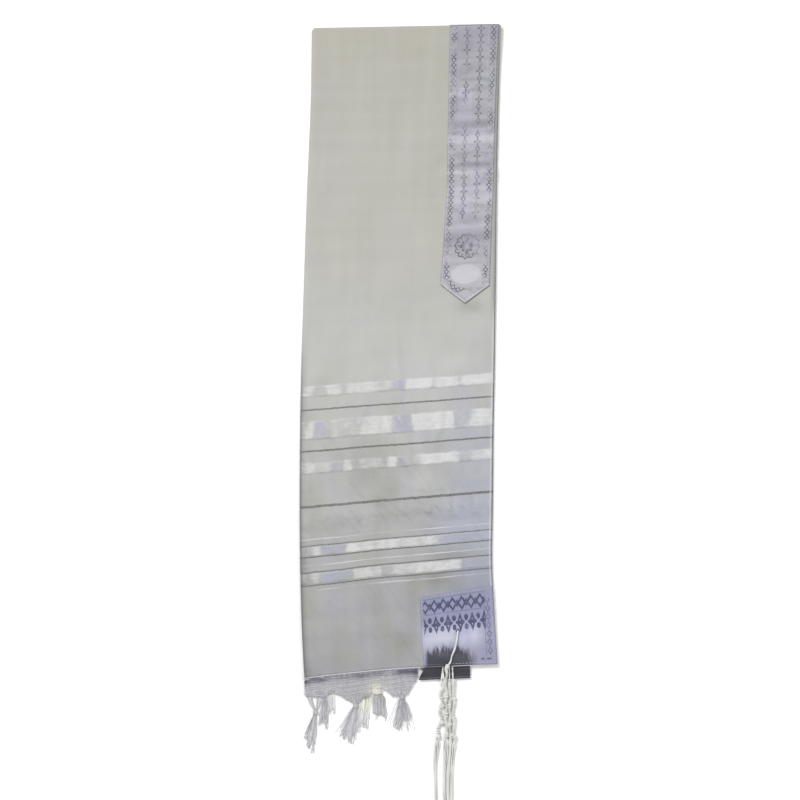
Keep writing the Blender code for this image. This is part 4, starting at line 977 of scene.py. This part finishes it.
THREAD, EYELET_THREAD, HEM_CORD = 0.28 * MM, 0.32 * MM, 0.66 * MM
STITCH, STITCH_GAP, STITCH_RISE = 2.6 * MM, 1.4 * MM, 0.2 * MM

# The eyelet's share across the cloth and distance down it, and its stitches' section from the
# hole outwards.
EYELET_SHARE, EYELET_DOWN = 0.8147, 0.7306
RIM_REACHES = np.array([1.4, 1.8, 2.3, 2.8]) * MM
RIM_HEIGHTS = np.array([-0.3, 0.5, 0.6, 0.15]) * MM

# Where the hem's thread, and the patch's stitches just above it, are painted dark as the corner
# tassels' shadow.
HEM_STEPS, HEM_FROM = 900, 0.022
HEM_DARK_X, HEM_DARK_HALF, HEM_DARK_SOFT = 46 * MM, 20 * MM, 6 * MM
PATCH_DARK_TO, PATCH_DARK_SOFT = 68 * MM, 8 * MM


def tubes(paths, radius, sides, lobes=0.0, twist=0.0, lean=(0.0, 0.0, 1.0)):
    """Cords along paths, an array cords x steps x 3. Each section is a circle swollen by lobes
    times the cosine of twice its angle, and turned by twist at each step. lean is roughly
    square to the path. Ends are closed flat."""
    paths = np.asarray(paths, float)
    cords, steps = paths.shape[:2]
    ahead = np.gradient(paths, axis=1)
    ahead /= np.linalg.norm(ahead, axis=-1, keepdims=True)
    side = np.cross(ahead, np.broadcast_to(lean, paths.shape))
    side /= np.linalg.norm(side, axis=-1, keepdims=True)
    up = np.cross(side, ahead)
    corner = np.arange(sides) * 2 * np.pi / sides
    angle = corner[None, None, :] + twist * np.arange(steps)[None, :, None]
    reach = np.broadcast_to(np.asarray(radius, float)[..., None], (cords, steps, 1))
    reach = (reach * (1 + lobes * np.cos(2 * corner)))[..., None]
    points = (paths[:, :, None, :] + reach * (np.cos(angle)[..., None] * side[:, :, None, :]
                                              + np.sin(angle)[..., None] * up[:, :, None, :]))
    at = np.arange(cords * steps * sides).reshape(cords, steps, sides)
    ahead_of = np.roll(at, -1, axis=2)
    quads = np.stack([at[:, :-1], at[:, 1:], ahead_of[:, 1:], ahead_of[:, :-1]], axis=-1).reshape(-1, 4)
    return points.reshape(-1, 3), [quads, at[:, 0, :], at[:, -1, ::-1]]


def together(parts):
    """One set of points, face groups and marks from several parts. A part may end with its shade
    and its cream, each one number or one for each point."""
    points, groups, shade, cream, first = [], [], [], [], 0
    for some_points, some_groups, *tints in parts:
        tints = list(tints) + [0.0] * (2 - len(tints))
        points.append(some_points)
        groups += [group + first for group in some_groups]
        first += len(some_points)
        shade.append(np.broadcast_to(tints[0], len(some_points)))
        cream.append(np.broadcast_to(tints[1], len(some_points)))
    return np.concatenate(points), groups, {"shade": np.concatenate(shade), "cream": np.concatenate(cream)}


def on_line(line, at, along=None):
    """Places on a line of points, at steps of it or at values of along."""
    along = np.arange(len(line)) if along is None else along
    return np.stack([np.interp(at, along, line[:, i]) for i in range(3)], axis=-1)


def run_of(line):
    """Length along a line of points, up to each of them."""
    return np.concatenate([[0], np.cumsum(np.linalg.norm(np.diff(line, axis=0), axis=1))])


def running_stitches(line, length, gap, rise):
    """Paths of stitches along a line of points: each rises from the cloth as a half sine."""
    run = run_of(line)
    count = int(run[-1] / (length + gap))
    fine = on_line(line, np.linspace(0, run[-1], count * 12 + 1), run)
    share = np.linspace(0, length / (length + gap), 5)
    paths = on_line(fine, (np.arange(count)[:, None] + share[None, :]) * 12)
    paths[..., 2] += rise * np.sin(np.linspace(0, np.pi, 5))
    return paths


def thread_finish(name, colour, shadow, dark=(0.05, 0.05, 0.06, 1.0), pale=(0.9, 0.9, 0.9, 1.0)):
    """Spun thread: its colour, with painted shade in the furrows between the twisted strands. The mark
    shade draws it towards dark, or below 0 towards pale, and the mark cream towards cream."""
    finish = Finish(name, Roughness=0.8)
    fibres = finish.noise(1500.0, 2.0)
    blotch = finish.noise(90.0, 2.0)
    mixed = finish.mix((fibres * 0.5 + blotch * 0.6 - 0.25).held(), colour, shadow)
    mixed = finish.mix(finish.mark("cream"), mixed, tone(234, 234, 218))
    shade = finish.mark("shade")
    mixed = finish.mix(shade.held(), mixed, dark)
    mixed = finish.mix((0.0 - shade).held(), mixed, pale)
    return finish.ends(mixed, None, fibres, 0.04 * MM)


def strand_piece(name, parts, finish, slot, *nodes):
    """A piece of threads or cords that rides on the shawl."""
    points, groups, marks = together(parts)
    return placed(make_mesh(name, points, groups, finish, marks=marks), slot, *nodes)


steps = np.linspace(0, 1, 200)
band_seams = [band_places(np.full(200, edge), steps)[0] for edge in (0.028, 0.972)]
band_seams.append(band_places(np.linspace(0.03, 0.97, 60), np.full(60, 0.992))[0])
patch_lift = CLOTH_WALL / 2 + PATCH_WALL + 0.1 * MM
patch_seams = [patch_places(p, q, patch_lift)
               for p, q in ((np.full(200, 0.02), steps), (steps, np.full(200, 0.02)),
                            (np.full(200, 0.97), steps), (steps, np.full(200, 0.975)))]
band_runs = [running_stitches(seam, STITCH, STITCH_GAP, STITCH_RISE) + (0, 0, BAND_WALL / 2)
             for seam in band_seams]
*patch_runs, hem_run = (running_stitches(seam, STITCH, STITCH_GAP, STITCH_RISE) for seam in patch_seams)
parts = [tubes(run, THREAD, 5) for run in band_runs + patch_runs]
in_shadow = 0.75 * ((PATCH_DARK_TO - hem_run[..., 0]) / PATCH_DARK_SOFT).clip(0, 1)
parts.append((*tubes(hem_run, THREAD, 5), np.repeat(in_shadow.ravel(), 5)))
strand_piece("trim_stitches", parts,
             thread_finish("lilac_thread", tone(206, 205, 214), tone(150, 149, 168)), "satin")

spokes = np.linspace(0, 2 * np.pi, 25)[:-1]
rim_x = EYELET[0] + np.cos(spokes)[:, None] * RIM_REACHES
rim_y = EYELET[1] + np.sin(spokes)[:, None] * RIM_REACHES
hole_top = front_top(np.array([EYELET_SHARE]), np.array([EYELET_DOWN]))[0] + PATCH_WALL
rim = np.stack([rim_x, rim_y, hole_top + np.broadcast_to(RIM_HEIGHTS, rim_x.shape)], -1)
strand_piece("eyelet_stitches", [tubes(rim, EYELET_THREAD, 6)],
             thread_finish("eyelet_thread", tone(140, 141, 166), tone(96, 96, 120)), "satin")

level = np.zeros(HEM_STEPS)
hem_line = cloth_places(np.linspace(HEM_FROM, 1.0, HEM_STEPS), level, np.full(HEM_STEPS, LENGTH), level)
hem_line[:, 1] -= 0.3 * MM
in_shadow = 0.7 * ((HEM_DARK_HALF - abs(hem_line[:, 0] - HEM_DARK_X)) / HEM_DARK_SOFT).clip(0, 1)
strand_piece("hem_twining", [(*tubes(hem_line[None], HEM_CORD, 8, 0.28, 0.30), np.repeat(in_shadow, 8))],
             thread_finish("hem_thread", tone(214, 214, 219), tone(166, 165, 184)), "fringe_yarn")


# ---------------------------------------------------------------- fringe
# The cloth's own warp threads run on past its end as an open gauze, crossed by its last weft
# threads. Below it they are gathered in bundles, each tied in a knot, that hang loose and fray.

YARN, WEFT_YARN = 0.2 * MM, 0.24 * MM
WARPS = 340
KNOT_LENGTH, KNOT_TURNS = 6.0 * MM, 44
Tassel = namedtuple("Tassel", "hem_x0 hem_x1 knot_x knot_y tip_x tip_y"
                              " spread knot_half yarns parted cream flare")
FRONT_TASSELS = (
    Tassel(-111.5, -88.0, -97.7, -426.0, -106.6, -476.5, 6.8, 2.7, 96, 0.75, 0.15, 0.2),
    Tassel(-92.0, -74.0, -86.2, -405.0, -89.0, -450.0, 6.2, 2.0, 78, 0.3, 0.0, 0.4),
    Tassel(-66.0, -33.0, -49.8, -418.5, -62.5, -467.0, 9.0, 2.9, 104, 0.4, 0.1, 0.2),
    Tassel(-36.0, -12.0, -25.6, -402.2, -22.0, -441.0, 6.4, 6.0, 100, 0.2, 1.0, 1.3),
    Tassel(-12.0, 21.5, 4.1, -408.0, 5.5, -452.0, 10.5, 2.7, 96, 0.4, 0.0, 0.2),
)
UNDER_TASSELS = (
    Tassel(-88.0, -64.0, -78.6, -397.0, -79.4, -435.0, 3.6, 3.0, 70, 0.2, 2.4, 0.9),
    Tassel(-56.0, -26.0, -38.6, -401.5, -44.6, -461.0, 5.8, 5.0, 124, 0.2, 7.0, 1.0),
)

# How far down the gauze reaches, in millimetres: places x, y along its lower edge.
GAUZE_EDGE = ((-111.0, -409.5), (-88.0, -411.0), (-81.5, -406.5), (-75.0, -406.0), (-66.0, -411.0),
              (-54.0, -417.5), (-34.2, -410.2), (-27.0, -401.0), (-20.0, -400.5), (-15.5, -403.4),
              (-6.7, -409.5), (4.1, -412.0), (11.5, -408.0), (16.5, -398.0), (20.5, -391.5),
              (22.5, -387.5))
FIRST_WEFT, WEFT_PITCH, WEFTS = 0.6, 0.86, 30


def hem_place(x, layer):
    """Y and height of a layer's hem at a place along it."""
    places = layer_places(layer, across_hem(x).clip(0.0, 1.0), np.full_like(x, LENGTH))
    return places[..., 1], places[..., 2]


def settled(hem_z, drop, rest):
    """Height of a yarn that leaves the hem and has sunk to rest after a few millimetres."""
    return rest + (hem_z - rest) * np.exp(-drop / (2.6 * MM))


def gauze_shade(x, drop):
    """How dark the gauze is painted: shade that comes and goes just below the hem, over layers in
    shadow, shade beside the hidden patch, and darker at the end by the long fold."""
    dusk = (0.38 + 0.17 * np.sin(x / (9 * MM)) + 0.10 * np.sin(x / (3.7 * MM) + 1.0)
            + 0.35 * np.exp(-((x - 12 * MM) / (14 * MM)) ** 2)).clip(0, 1)
    end = 0.75 * np.exp(-((x + 111 * MM) / (4 * MM)) ** 2)
    beside_patch = (0.6 * np.exp(-((x - 23 * MM) / (5 * MM)) ** 2)
                    * np.exp(-((drop - 6 * MM) / (9 * MM)) ** 2))
    return (dusk * np.exp(-((drop - 4.8 * MM) / (3.8 * MM)) ** 2) + end * np.exp(-(drop / (9 * MM)) ** 2)
            + beside_patch)


def tint_of(tassel, places):
    """A tassel's cream tint: it wanes with the distance from the knot, later where it is strong."""
    reach = (8 + 0.9 * tassel.cream) * MM
    away = np.hypot(places[..., 0] - tassel.knot_x * MM, places[..., 1] - tassel.knot_y * MM)
    return (tassel.cream * np.exp(-(away / reach) ** 2)).clip(0, 1)


def yarns(places, radius, shade, tassels):
    """Yarns along places, shaded from step to step and tinted by the tassels near them."""
    cream = sum(tint_of(tassel, places) for tassel in tassels)
    marks = (np.repeat(np.broadcast_to(mark, places.shape[:2]).ravel(), 4) for mark in (shade, cream))
    return (*tubes(places, radius, 4), *marks)


def gauze(dice):
    """The warp yarns below the hem, straight down to the gauze's lower edge with a slight sway,
    and the weft yarns across them, which stop short where the edge is higher."""
    edge_x, edge_y = (np.array(column) * MM for column in zip(*GAUZE_EDGE))
    hem_x = np.linspace(edge_x[0], edge_x[-1], WARPS) + dice.normal(0, 0.22 * MM, WARPS)
    hem_y, hem_z = hem_place(hem_x, 1)
    low_y = np.interp(hem_x, edge_x, edge_y) + dice.normal(0, 1.1 * MM, WARPS)
    t = np.linspace(0, 1, 10)[None, :]
    wave = dice.uniform(0, 2 * np.pi, (WARPS, 1))
    x = hem_x[:, None] + 0.35 * MM * np.sin(5 * t + wave) * t
    y = hem_y[:, None] + 0.4 * MM + (low_y - hem_y - 0.4 * MM)[:, None] * t
    z = settled(hem_z[:, None], hem_y[:, None] - y, 2.2 * MM) + 0.2 * MM * np.sin(8 * t + 2 * wave)
    shade = gauze_shade(x, hem_y[:, None] - y) + 0.12
    parts = [yarns(np.stack([x, y, z], axis=-1), YARN, shade, FRONT_TASSELS)]
    x = np.linspace(edge_x[0] - 0.5 * MM, edge_x[-1], 180)
    hem_y, hem_z = hem_place(x, 1)
    room = hem_y - np.interp(x, edge_x, edge_y) - 1.2 * MM
    for depth in FIRST_WEFT + WEFT_PITCH * np.arange(WEFTS):
        drop = depth * MM + 0.4 * MM * np.sin(x / 0.012 + depth) + dice.normal(0, 0.10 * MM, len(x))
        drop = np.minimum(drop, room)
        z = settled(hem_z, drop, 2.5 * MM) + 0.30 * MM * np.sin(x / 0.0011 + depth * 2)
        streak = 0.32 * np.sin(x / (13 * MM) + 2.2 * depth + 1.2 * np.sin(x / (7 * MM)))
        streak = streak - 0.20 * (drop / (14 * MM)).clip(0, 1)
        shade = 0.12 + gauze_shade(x, drop) * 1.2 + streak
        weft = np.stack([x, hem_y - drop, z], axis=-1)[None]
        parts.append(yarns(weft, WEFT_YARN, shade, FRONT_TASSELS))
    return parts


def gathered(tassel, layer, rest, dice):
    """Yarns drawn from the hem into a knot, below the gauze until they near it. Each is a quadratic
    curve that leaves the hem straight down and turns in near the knot, so that a bundle's sides
    belly out. In a parted bundle most yarns run down its sides."""
    count = tassel.yarns
    x0, x1, knot_x, knot_y = (value * MM for value in tassel[:4])
    share = np.linspace(-1, 1, count)
    share = np.sign(share) * abs(share) ** (1 - tassel.parted)
    hem_x = (x0 + x1) / 2 + share * (x1 - x0) / 2 + dice.normal(0, 0.3 * MM, count)
    hem_y, hem_z = hem_place(hem_x, layer)
    t = np.linspace(0, 1, 13)[None, :]
    end_x = knot_x + (hem_x - knot_x) * 0.07 + dice.normal(0, 0.35 * MM, count)
    bend_x = hem_x + (knot_x - hem_x) * dice.uniform(0.05, 0.45, count)
    bend_y = knot_y + (hem_y - knot_y) * dice.uniform(0.12, 0.40, count)
    x = (1 - t) ** 2 * hem_x[:, None] + 2 * t * (1 - t) * bend_x[:, None] + t ** 2 * end_x[:, None]
    y = (1 - t) ** 2 * (hem_y[:, None] + 0.4 * MM) + 2 * t * (1 - t) * bend_y[:, None] + t ** 2 * knot_y
    wave = dice.uniform(0, 2 * np.pi, (count, 1))
    x = x + 0.25 * MM * np.sin(9 * t + wave) * (1 - t)
    low = 1.5 * MM if layer == 1 else 1.0 * MM
    end_z = low + (rest - low + dice.uniform(-0.7, 0.7, count)[:, None] * MM) * t ** 3
    top = hem_z[:, None] - 0.3 * MM if layer == 1 else np.full((count, 1), 1.1 * MM)
    z = settled(top, hem_y[:, None] - y, end_z) + 0.15 * MM * np.sin(7 * t + 2 * wave)
    places = np.stack([x, y, z.clip(0.35 * MM)], axis=-1)
    return yarns(places, YARN, 0.30 * t ** 4 + 0.12 * np.sin(wave), (tassel,))


def knot_line(tassel):
    """A tassel's knot and tip across the table, and the way from one to the other."""
    start = np.array((tassel.knot_x, tassel.knot_y)) * MM
    tip = np.array((tassel.tip_x, tassel.tip_y)) * MM
    return start, tip, (tip - start) / np.linalg.norm(tip - start)


def loose_yarns(tassel, top, dice):
    """Yarns below a knot, in locks. A lock leans out by its own share of the spread and bends its
    own way, its yarns part slowly towards the frayed ends, and a few stray yarns lie apart."""
    count, locks = tassel.yarns, 7
    start, tip, ahead = knot_line(tassel)
    side = np.array((-ahead[1], ahead[0]))
    start = start + ahead * KNOT_LENGTH * 0.8
    length = np.linalg.norm(tip - start)
    lock = dice.integers(0, locks, count)
    lock_lean = np.linspace(-0.9, 0.9, locks) + dice.normal(0, 0.10, locks)
    lock_reach = dice.uniform(0.66, 1.02, locks)
    lock_bend = dice.uniform(-1, 1, locks)
    lean = lock_lean[lock]
    apart = dice.normal(0, 0.13, count)
    stray = dice.random(count) < 0.12
    apart = np.where(stray, apart * 2.4, apart)
    reach = length * lock_reach[lock] * (1.0 - 0.34 * dice.random(count) ** 2)
    t = np.linspace(0, 1, 12)[None, :]
    wave = dice.uniform(0, 2 * np.pi, (count, 1))
    open_up = 1 - (1 - t / 0.3).clip(0) ** 2
    fan = 0.7 * tassel.knot_half * (1 - open_up)
    fan = fan + tassel.spread * (tassel.flare + (1 - tassel.flare) * t ** 0.9) * open_up
    parting = (0.25 + 0.20 * open_up + 0.75 * t) * tassel.spread
    drift = (fan * lean[:, None] + parting * apart[:, None]) * MM
    drift = drift + 2.2 * MM * (t * t - 0.4 * t) * lock_bend[lock][:, None]
    drift = drift + 0.35 * MM * np.sin(9 * t + wave) * t
    along = reach[:, None] * t
    x = start[0] + along * ahead[0] + drift * side[0]
    y = start[1] + along * ahead[1] + drift * side[1]
    level = dice.uniform(0, 1, (count, 1)) * (1 - abs(lean[:, None]) * 0.4)
    z = (0.4 + level * (top * (1 - 0.5 * t))) * MM
    places = np.stack([x, y, z], axis=-1)
    lock_shade = dice.uniform(-0.16, 0.30, locks)
    shade = lock_shade[lock][:, None] + 0.12 * np.exp(-t / 0.2) - 0.32 * t + 0.16 * np.sin(wave)
    return yarns(places, YARN, shade, (tassel,))


def knot_form(middle, ahead, half_width, half_height, half_length, dice):
    """A tied knot: slanting turns of yarn that bulge into a plump shape. Its radius is a half width
    times (1 - s^2)^0.38, with s from -1 to 1 along it."""
    side = np.array((-ahead[1], ahead[0], 0.0))
    ahead = np.array((*ahead, 0.0))
    up = np.array((0.0, 0.0, 1.0))
    share = np.linspace(-0.9, 0.9, 14)[None, :]
    start = (np.arange(KNOT_TURNS) * 2 * np.pi / KNOT_TURNS)[:, None]
    slant = dice.uniform(1.6, 2.6, (KNOT_TURNS, 1))
    angle = start + slant * share
    bulge = (1 - share ** 2) ** 0.38 * dice.uniform(0.86, 1.04, (KNOT_TURNS, 1))
    wide, tall = bulge * half_width * np.cos(angle), bulge * half_height * np.sin(angle)
    out = wide[..., None] * side + tall[..., None] * up
    along = (share * half_length * np.ones_like(angle))[..., None] * ahead
    paths = np.asarray(middle) + along + out
    return tubes(paths, 0.3 * MM, 5, lean=out)


def build_fringe(name, node, tassels, layer, knot_z, top, dice, finish, more=()):
    """A row of tassels: gathered yarns, knots, and the loose yarns below."""
    parts = list(more)
    for tassel in tassels:
        parts.append(gathered(tassel, layer, knot_z, dice))
        parts.append(loose_yarns(tassel, top, dice))
        start, _, ahead = knot_line(tassel)
        middle = (*(start + ahead * KNOT_LENGTH * 0.4), knot_z)
        knot = knot_form(middle, ahead, tassel.knot_half * MM, min(knot_z - 0.8 * MM, 1.5 * MM),
                         0.55 * KNOT_LENGTH, dice)
        # Painted shade darkens the knot, as the loose yarns are darkened by their own shadows; less where
        # it is cream.
        cream = min(tassel.cream, 1.0)
        parts.append((*knot, 0.36 - 0.16 * cream, 0.8 * cream))
    return strand_piece(name, parts, finish, "fringe_yarn", node)


dice = np.random.default_rng(7)
build_fringe("fringe_of_front", "fringe_front", FRONT_TASSELS, 1, 2.1 * MM, 2.2, dice,
             thread_finish("warp_yarn", tone(213, 212, 215), tone(178, 177, 184), tone(100, 97, 118),
                           tone(240, 240, 242)), gauze(dice))
build_fringe("fringe_of_lower_layer", "fringe_under", UNDER_TASSELS, 3, 1.25 * MM, 1.2, dice,
             thread_finish("cream_yarn", tone(225, 224, 227), tone(198, 197, 204), tone(140, 139, 146),
                           tone(244, 244, 240)))


# ---------------------------------------------------------------- tzitzit
# The corner tassels that the shawl is worn for: four plied wool strings go through an eyelet
# and hang as eight. One of them is wound round the rest between double knots, and the strings
# then hang free. Four tassels lie together here, one from each corner.

STRING, NECK, CORE = 0.55 * MM, 0.92 * MM, 1.0 * MM
Cord = namedtuple("Cord", "x y z half_width half_height")
Loose = namedtuple("Loose", "x y half_width")
TZITZIT = {
    "tzitzit_front": (
        ((70.1, -331.8, 5.2, 0.9, 0.9), (70.0, -333.2, 8.3, 1.0, 0.9), (69.0, -340.0, 9.3, 1.0, 0.9),
         (66.8, -351.0, 10.2, 1.0, 0.9), (61.6, -365.5, 11.4, 1.1, 1.0), (57.6, -373.0, 11.7, 1.8, 1.4),
         (56.6, -379.5, 9.4, 1.5, 1.2), (56.2, -389.0, 6.4, 1.6, 1.4), (56.2, -400.0, 3.8, 1.6, 1.5),
         (56.6, -409.0, 2.4, 2.3, 1.9), (56.2, -417.0, 2.2, 1.6, 1.6), (55.8, -431.0, 2.3, 2.3, 1.9),
         (56.4, -442.0, 2.2, 1.6, 1.6), (56.8, -455.0, 2.3, 2.4, 1.9), (56.6, -459.5, 2.2, 2.6, 1.7)),
        ((56.2, -466.0, 2.4), (55.4, -482.0, 2.2), (54.2, -503.0, 2.3), (54.6, -530.0, 2.4),
         (55.8, -556.0, 2.5), (55.2, -584.0, 2.7))),
    "tzitzit_left": (
        ((53.0, -370.6, 5.1, 0.9, 0.8), (52.4, -379.0, 5.2, 1.1, 0.9), (52.2, -389.0, 5.7, 1.5, 1.3),
         (51.8, -399.5, 3.4, 1.6, 1.6), (50.6, -409.0, 2.2, 1.5, 1.5), (50.4, -421.0, 2.3, 2.2, 1.9),
         (50.0, -430.0, 2.2, 1.5, 1.5), (50.2, -441.0, 2.4, 2.3, 1.9), (47.4, -450.0, 2.2, 1.6, 1.6),
         (46.6, -457.5, 2.2, 2.4, 1.9), (46.2, -461.5, 2.2, 2.6, 1.7)),
        ((45.8, -467.0, 2.5), (44.6, -482.0, 2.5), (43.7, -500.0, 2.7), (44.0, -526.0, 2.9),
         (45.4, -552.0, 2.8), (45.0, -575.0, 3.0))),
    "tzitzit_middle": (
        ((59.6, -370.6, 5.1, 0.9, 0.8), (60.0, -379.0, 5.2, 1.1, 0.9), (60.2, -389.0, 5.7, 1.4, 1.3),
         (60.6, -399.5, 3.4, 1.5, 1.5), (61.0, -411.0, 2.2, 1.5, 1.5), (60.9, -421.0, 2.3, 2.1, 1.9),
         (60.6, -431.0, 2.2, 1.5, 1.5), (61.0, -443.0, 2.3, 2.1, 1.9), (61.5, -456.0, 2.2, 2.2, 1.9),
         (61.6, -461.0, 2.2, 2.5, 1.7)),
        ((61.0, -467.0, 2.3), (59.6, -483.0, 2.2), (58.4, -503.0, 2.3), (58.8, -530.0, 2.4),
         (60.0, -560.0, 2.6), (59.8, -590.0, 2.7))),
    "tzitzit_right": (
        ((63.4, -370.6, 5.1, 0.9, 0.8), (63.8, -379.0, 5.2, 1.1, 0.9), (64.4, -389.0, 5.7, 1.5, 1.3),
         (65.0, -399.5, 3.4, 1.6, 1.6), (65.5, -413.0, 2.3, 2.2, 1.9), (65.2, -424.0, 2.2, 1.6, 1.6),
         (65.2, -436.0, 2.3, 2.2, 1.9), (65.6, -447.0, 2.2, 1.6, 1.6), (66.2, -458.0, 2.3, 2.2, 1.9),
         (66.4, -462.5, 2.2, 2.5, 1.7)),
        ((65.7, -469.0, 2.3), (64.3, -484.0, 2.2), (62.8, -504.0, 2.3), (63.1, -530.0, 2.4),
         (64.8, -556.0, 2.6), (65.6, -579.0, 2.8))),
}
# Turns lie this far apart, tight and slack, and a station at least this wide is a double knot.
WIND_PITCH, SLACK_PITCH = 1.35 * MM, 3.375 * MM
KNOT_FROM = 1.8
LINE_STEPS = 401


def coil(line, first, last, radius, flat, turns, start=0.0):
    """A cord wound round a stretch of a line: the angle grows evenly, round the line's side and
    up directions, and flat is the height of the winding as a share of its width."""
    count = max(int(abs(turns) * 14), 8)
    middle = on_line(line, np.linspace(first, last, count))
    ahead = np.gradient(middle, axis=0)
    ahead /= np.linalg.norm(ahead, axis=1, keepdims=True)
    side = np.cross(ahead, (0.0, 0.0, 1.0))
    side /= np.linalg.norm(side, axis=1, keepdims=True)
    up = np.cross(side, ahead)
    angle = (start + np.linspace(0, turns * 2 * np.pi, count))[:, None]
    out = np.cos(angle) * side + np.sin(angle) * up * flat
    return middle + out * radius, out


def laid(path, thick):
    """A path pressed flat where it would go through the table."""
    return np.concatenate([path[:, :2], path[:, 2:].clip(thick)], axis=1)


def wound_stretch(line, first, last, pitch, dice):
    """Windings between two knots over a core: turns side by side, or slack and apart."""
    run = run_of(line[int(first):int(last) + 1])[-1]
    out_by, uneven, thick = (1.55, 0.28, 0.66 * MM) if pitch == SLACK_PITCH else (1.4, 0.17, 0.58 * MM)
    path, out = coil(line, first, last, CORE, 0.85, run / pitch, dice.uniform(0, 6))
    bulge = dice.normal(0.0, 1.0, 2 + int(run / (2.4 * MM)))
    bulge = np.interp(np.linspace(0, len(bulge) - 1, len(path)), np.arange(len(bulge)), bulge)
    reach = out_by + uneven * bulge.clip(-1.6, 2.0)
    path = path + out * (reach[:, None] - 1.0) * MM
    # Turns that lie deeper are painted in shade.
    shade = (0.10 - 0.22 * bulge).clip(0, 0.5)
    return (*tubes(laid(path, thick)[None], thick, 6, lean=out[None]), np.repeat(shade, 6))


def split_loop(line, first, last, half):
    """Two cords that part and meet again over a stretch: the gap is a half sine."""
    middle = on_line(line, np.linspace(first, last, 40))
    apart = half * np.sin(np.linspace(0, np.pi, 40)) ** 0.8 + 0.3 * MM
    sides = [middle + (sign * apart)[:, None] * (1.0, 0.0, 0.0) for sign in (-1, 1)]
    return tubes(np.array(sides), 0.72 * MM, 8, 0.22, 0.5)


def double_knot(line, at, half_width, flat, per_mm, dice):
    """A double knot: two tight turns one way, and one slack turn laid over them the other way."""
    start = dice.uniform(0, 6)
    parts = []
    # The tight turns under the slack one are painted in shade.
    for reach, swell, turns, from_start, thick, shade in ((2.4, -0.45, 2.6, 0.0, 0.8 * MM, 0.22),
                                                          (1.9, 0.35, -1.3, 2.0, 0.7 * MM, 0.04)):
        path, out = coil(line, at - reach * per_mm, at + reach * per_mm, (half_width + swell) * MM, flat,
                         turns, start + from_start)
        parts.append((*tubes(laid(path, thick)[None], thick, 7, lean=out[None]), shade))
    return parts


def free_strings(end, loose, dice):
    """The eight strings below the last knot, in two layers of four. Each leans out by its own
    share of the tassel's width and sways by slow sines, and they end at slightly different places."""
    hung = [Loose(end.x, end.y + 1.0, end.half_width * 0.5)] + [Loose(*row) for row in loose]
    fine = np.linspace(0, len(hung) - 1, 150)
    middle_x, middle_y, wide = (through(np.arange(len(hung)), column, fine) for column in zip(*hung))
    strings = []
    for k in range(8):
        lean = -1 + 2 * (k % 4) / 3
        wave = dice.uniform(0, 6)
        sway = (lean * np.cos(fine * 0.5 + 0.3 * (k // 4)) * 0.4 + lean * 0.6
                + 0.25 * np.sin(fine * 1.7 + wave))
        x = middle_x + sway * wide * 0.9
        y = middle_y + dice.uniform(0, 9) * (fine / fine[-1]) ** 4
        settle = smooth_share((fine / 0.8).clip(0, 1))
        low = 0.82 + 1.25 * (k // 4)
        z = end.z * (1 - settle) + low * settle + 0.12 * np.sin(fine * 2.3 + wave)
        strings.append(np.stack([x, y, z], axis=-1) * MM)
    return tubes(np.array(strings), STRING, 8, 0.22, 0.95)


def build_tassel(name, stations, loose, dice, finish):
    """One corner tassel: plied neck, core with windings and knots, and eight loose strings. The
    left one is wound slackly, and its neck parts in two above the windings."""
    slack = name == "tzitzit_left"
    rows = [Cord(*row) for row in stations]
    at = np.linspace(0, len(rows) - 1, LINE_STEPS)
    line = [through(np.arange(len(rows)), column, at) for column in list(zip(*rows))[:3]]
    line = np.stack(line, axis=-1) * MM
    crook = 1.5 * MM if slack else 0.8 * MM
    line[:, 0] += crook * np.sin(at * 3.1 + len(name)) * smooth_share((at - 3).clip(0, 1))
    step = (LINE_STEPS - 1) / (len(rows) - 1)
    per_mm = (LINE_STEPS - 1) / (run_of(line)[-1] / MM)
    knots = [k for k, row in enumerate(rows) if row.half_width >= KNOT_FROM]
    neck_end = 5 if name == "tzitzit_front" else 2
    core_from, pitch = (neck_end + 1.4, SLACK_PITCH) if slack else (neck_end, WIND_PITCH)
    parts = [(*tubes(line[:int(neck_end * step) + 1][None], NECK, 10, 0.22, 0.10), 0.16)]
    if slack:
        parts.append(split_loop(line, (neck_end - 0.9) * step, core_from * step, 1.3 * MM))
    # The core, seen only between its windings, is painted in shade.
    parts.append((*tubes(line[int(core_from * step):][None], CORE, 8), 0.45))
    bounds = sorted({neck_end, len(rows) - 1, *(k for k in knots if k > neck_end)})
    for first, last in zip(bounds, bounds[1:]):
        parts.append(wound_stretch(line, max(first, core_from) * step, last * step, pitch, dice))
    for k in knots:
        if 2.3 * per_mm < k * step < LINE_STEPS - 2.3 * per_mm:
            flat = rows[k].half_height / rows[k].half_width
            parts += double_knot(line, k * step, rows[k].half_width, flat, per_mm, dice)
    parts.append(free_strings(rows[-1], loose, dice))
    return strand_piece(name + "_strings", parts, finish, "tzitzit_cord", name)


cord_finish = thread_finish("white_wool_cord", tone(234, 234, 231), tone(206, 206, 202),
                            tone(146, 146, 142))
for name, (stations, loose) in TZITZIT.items():
    build_tassel(name, stations, loose, dice, cord_finish)
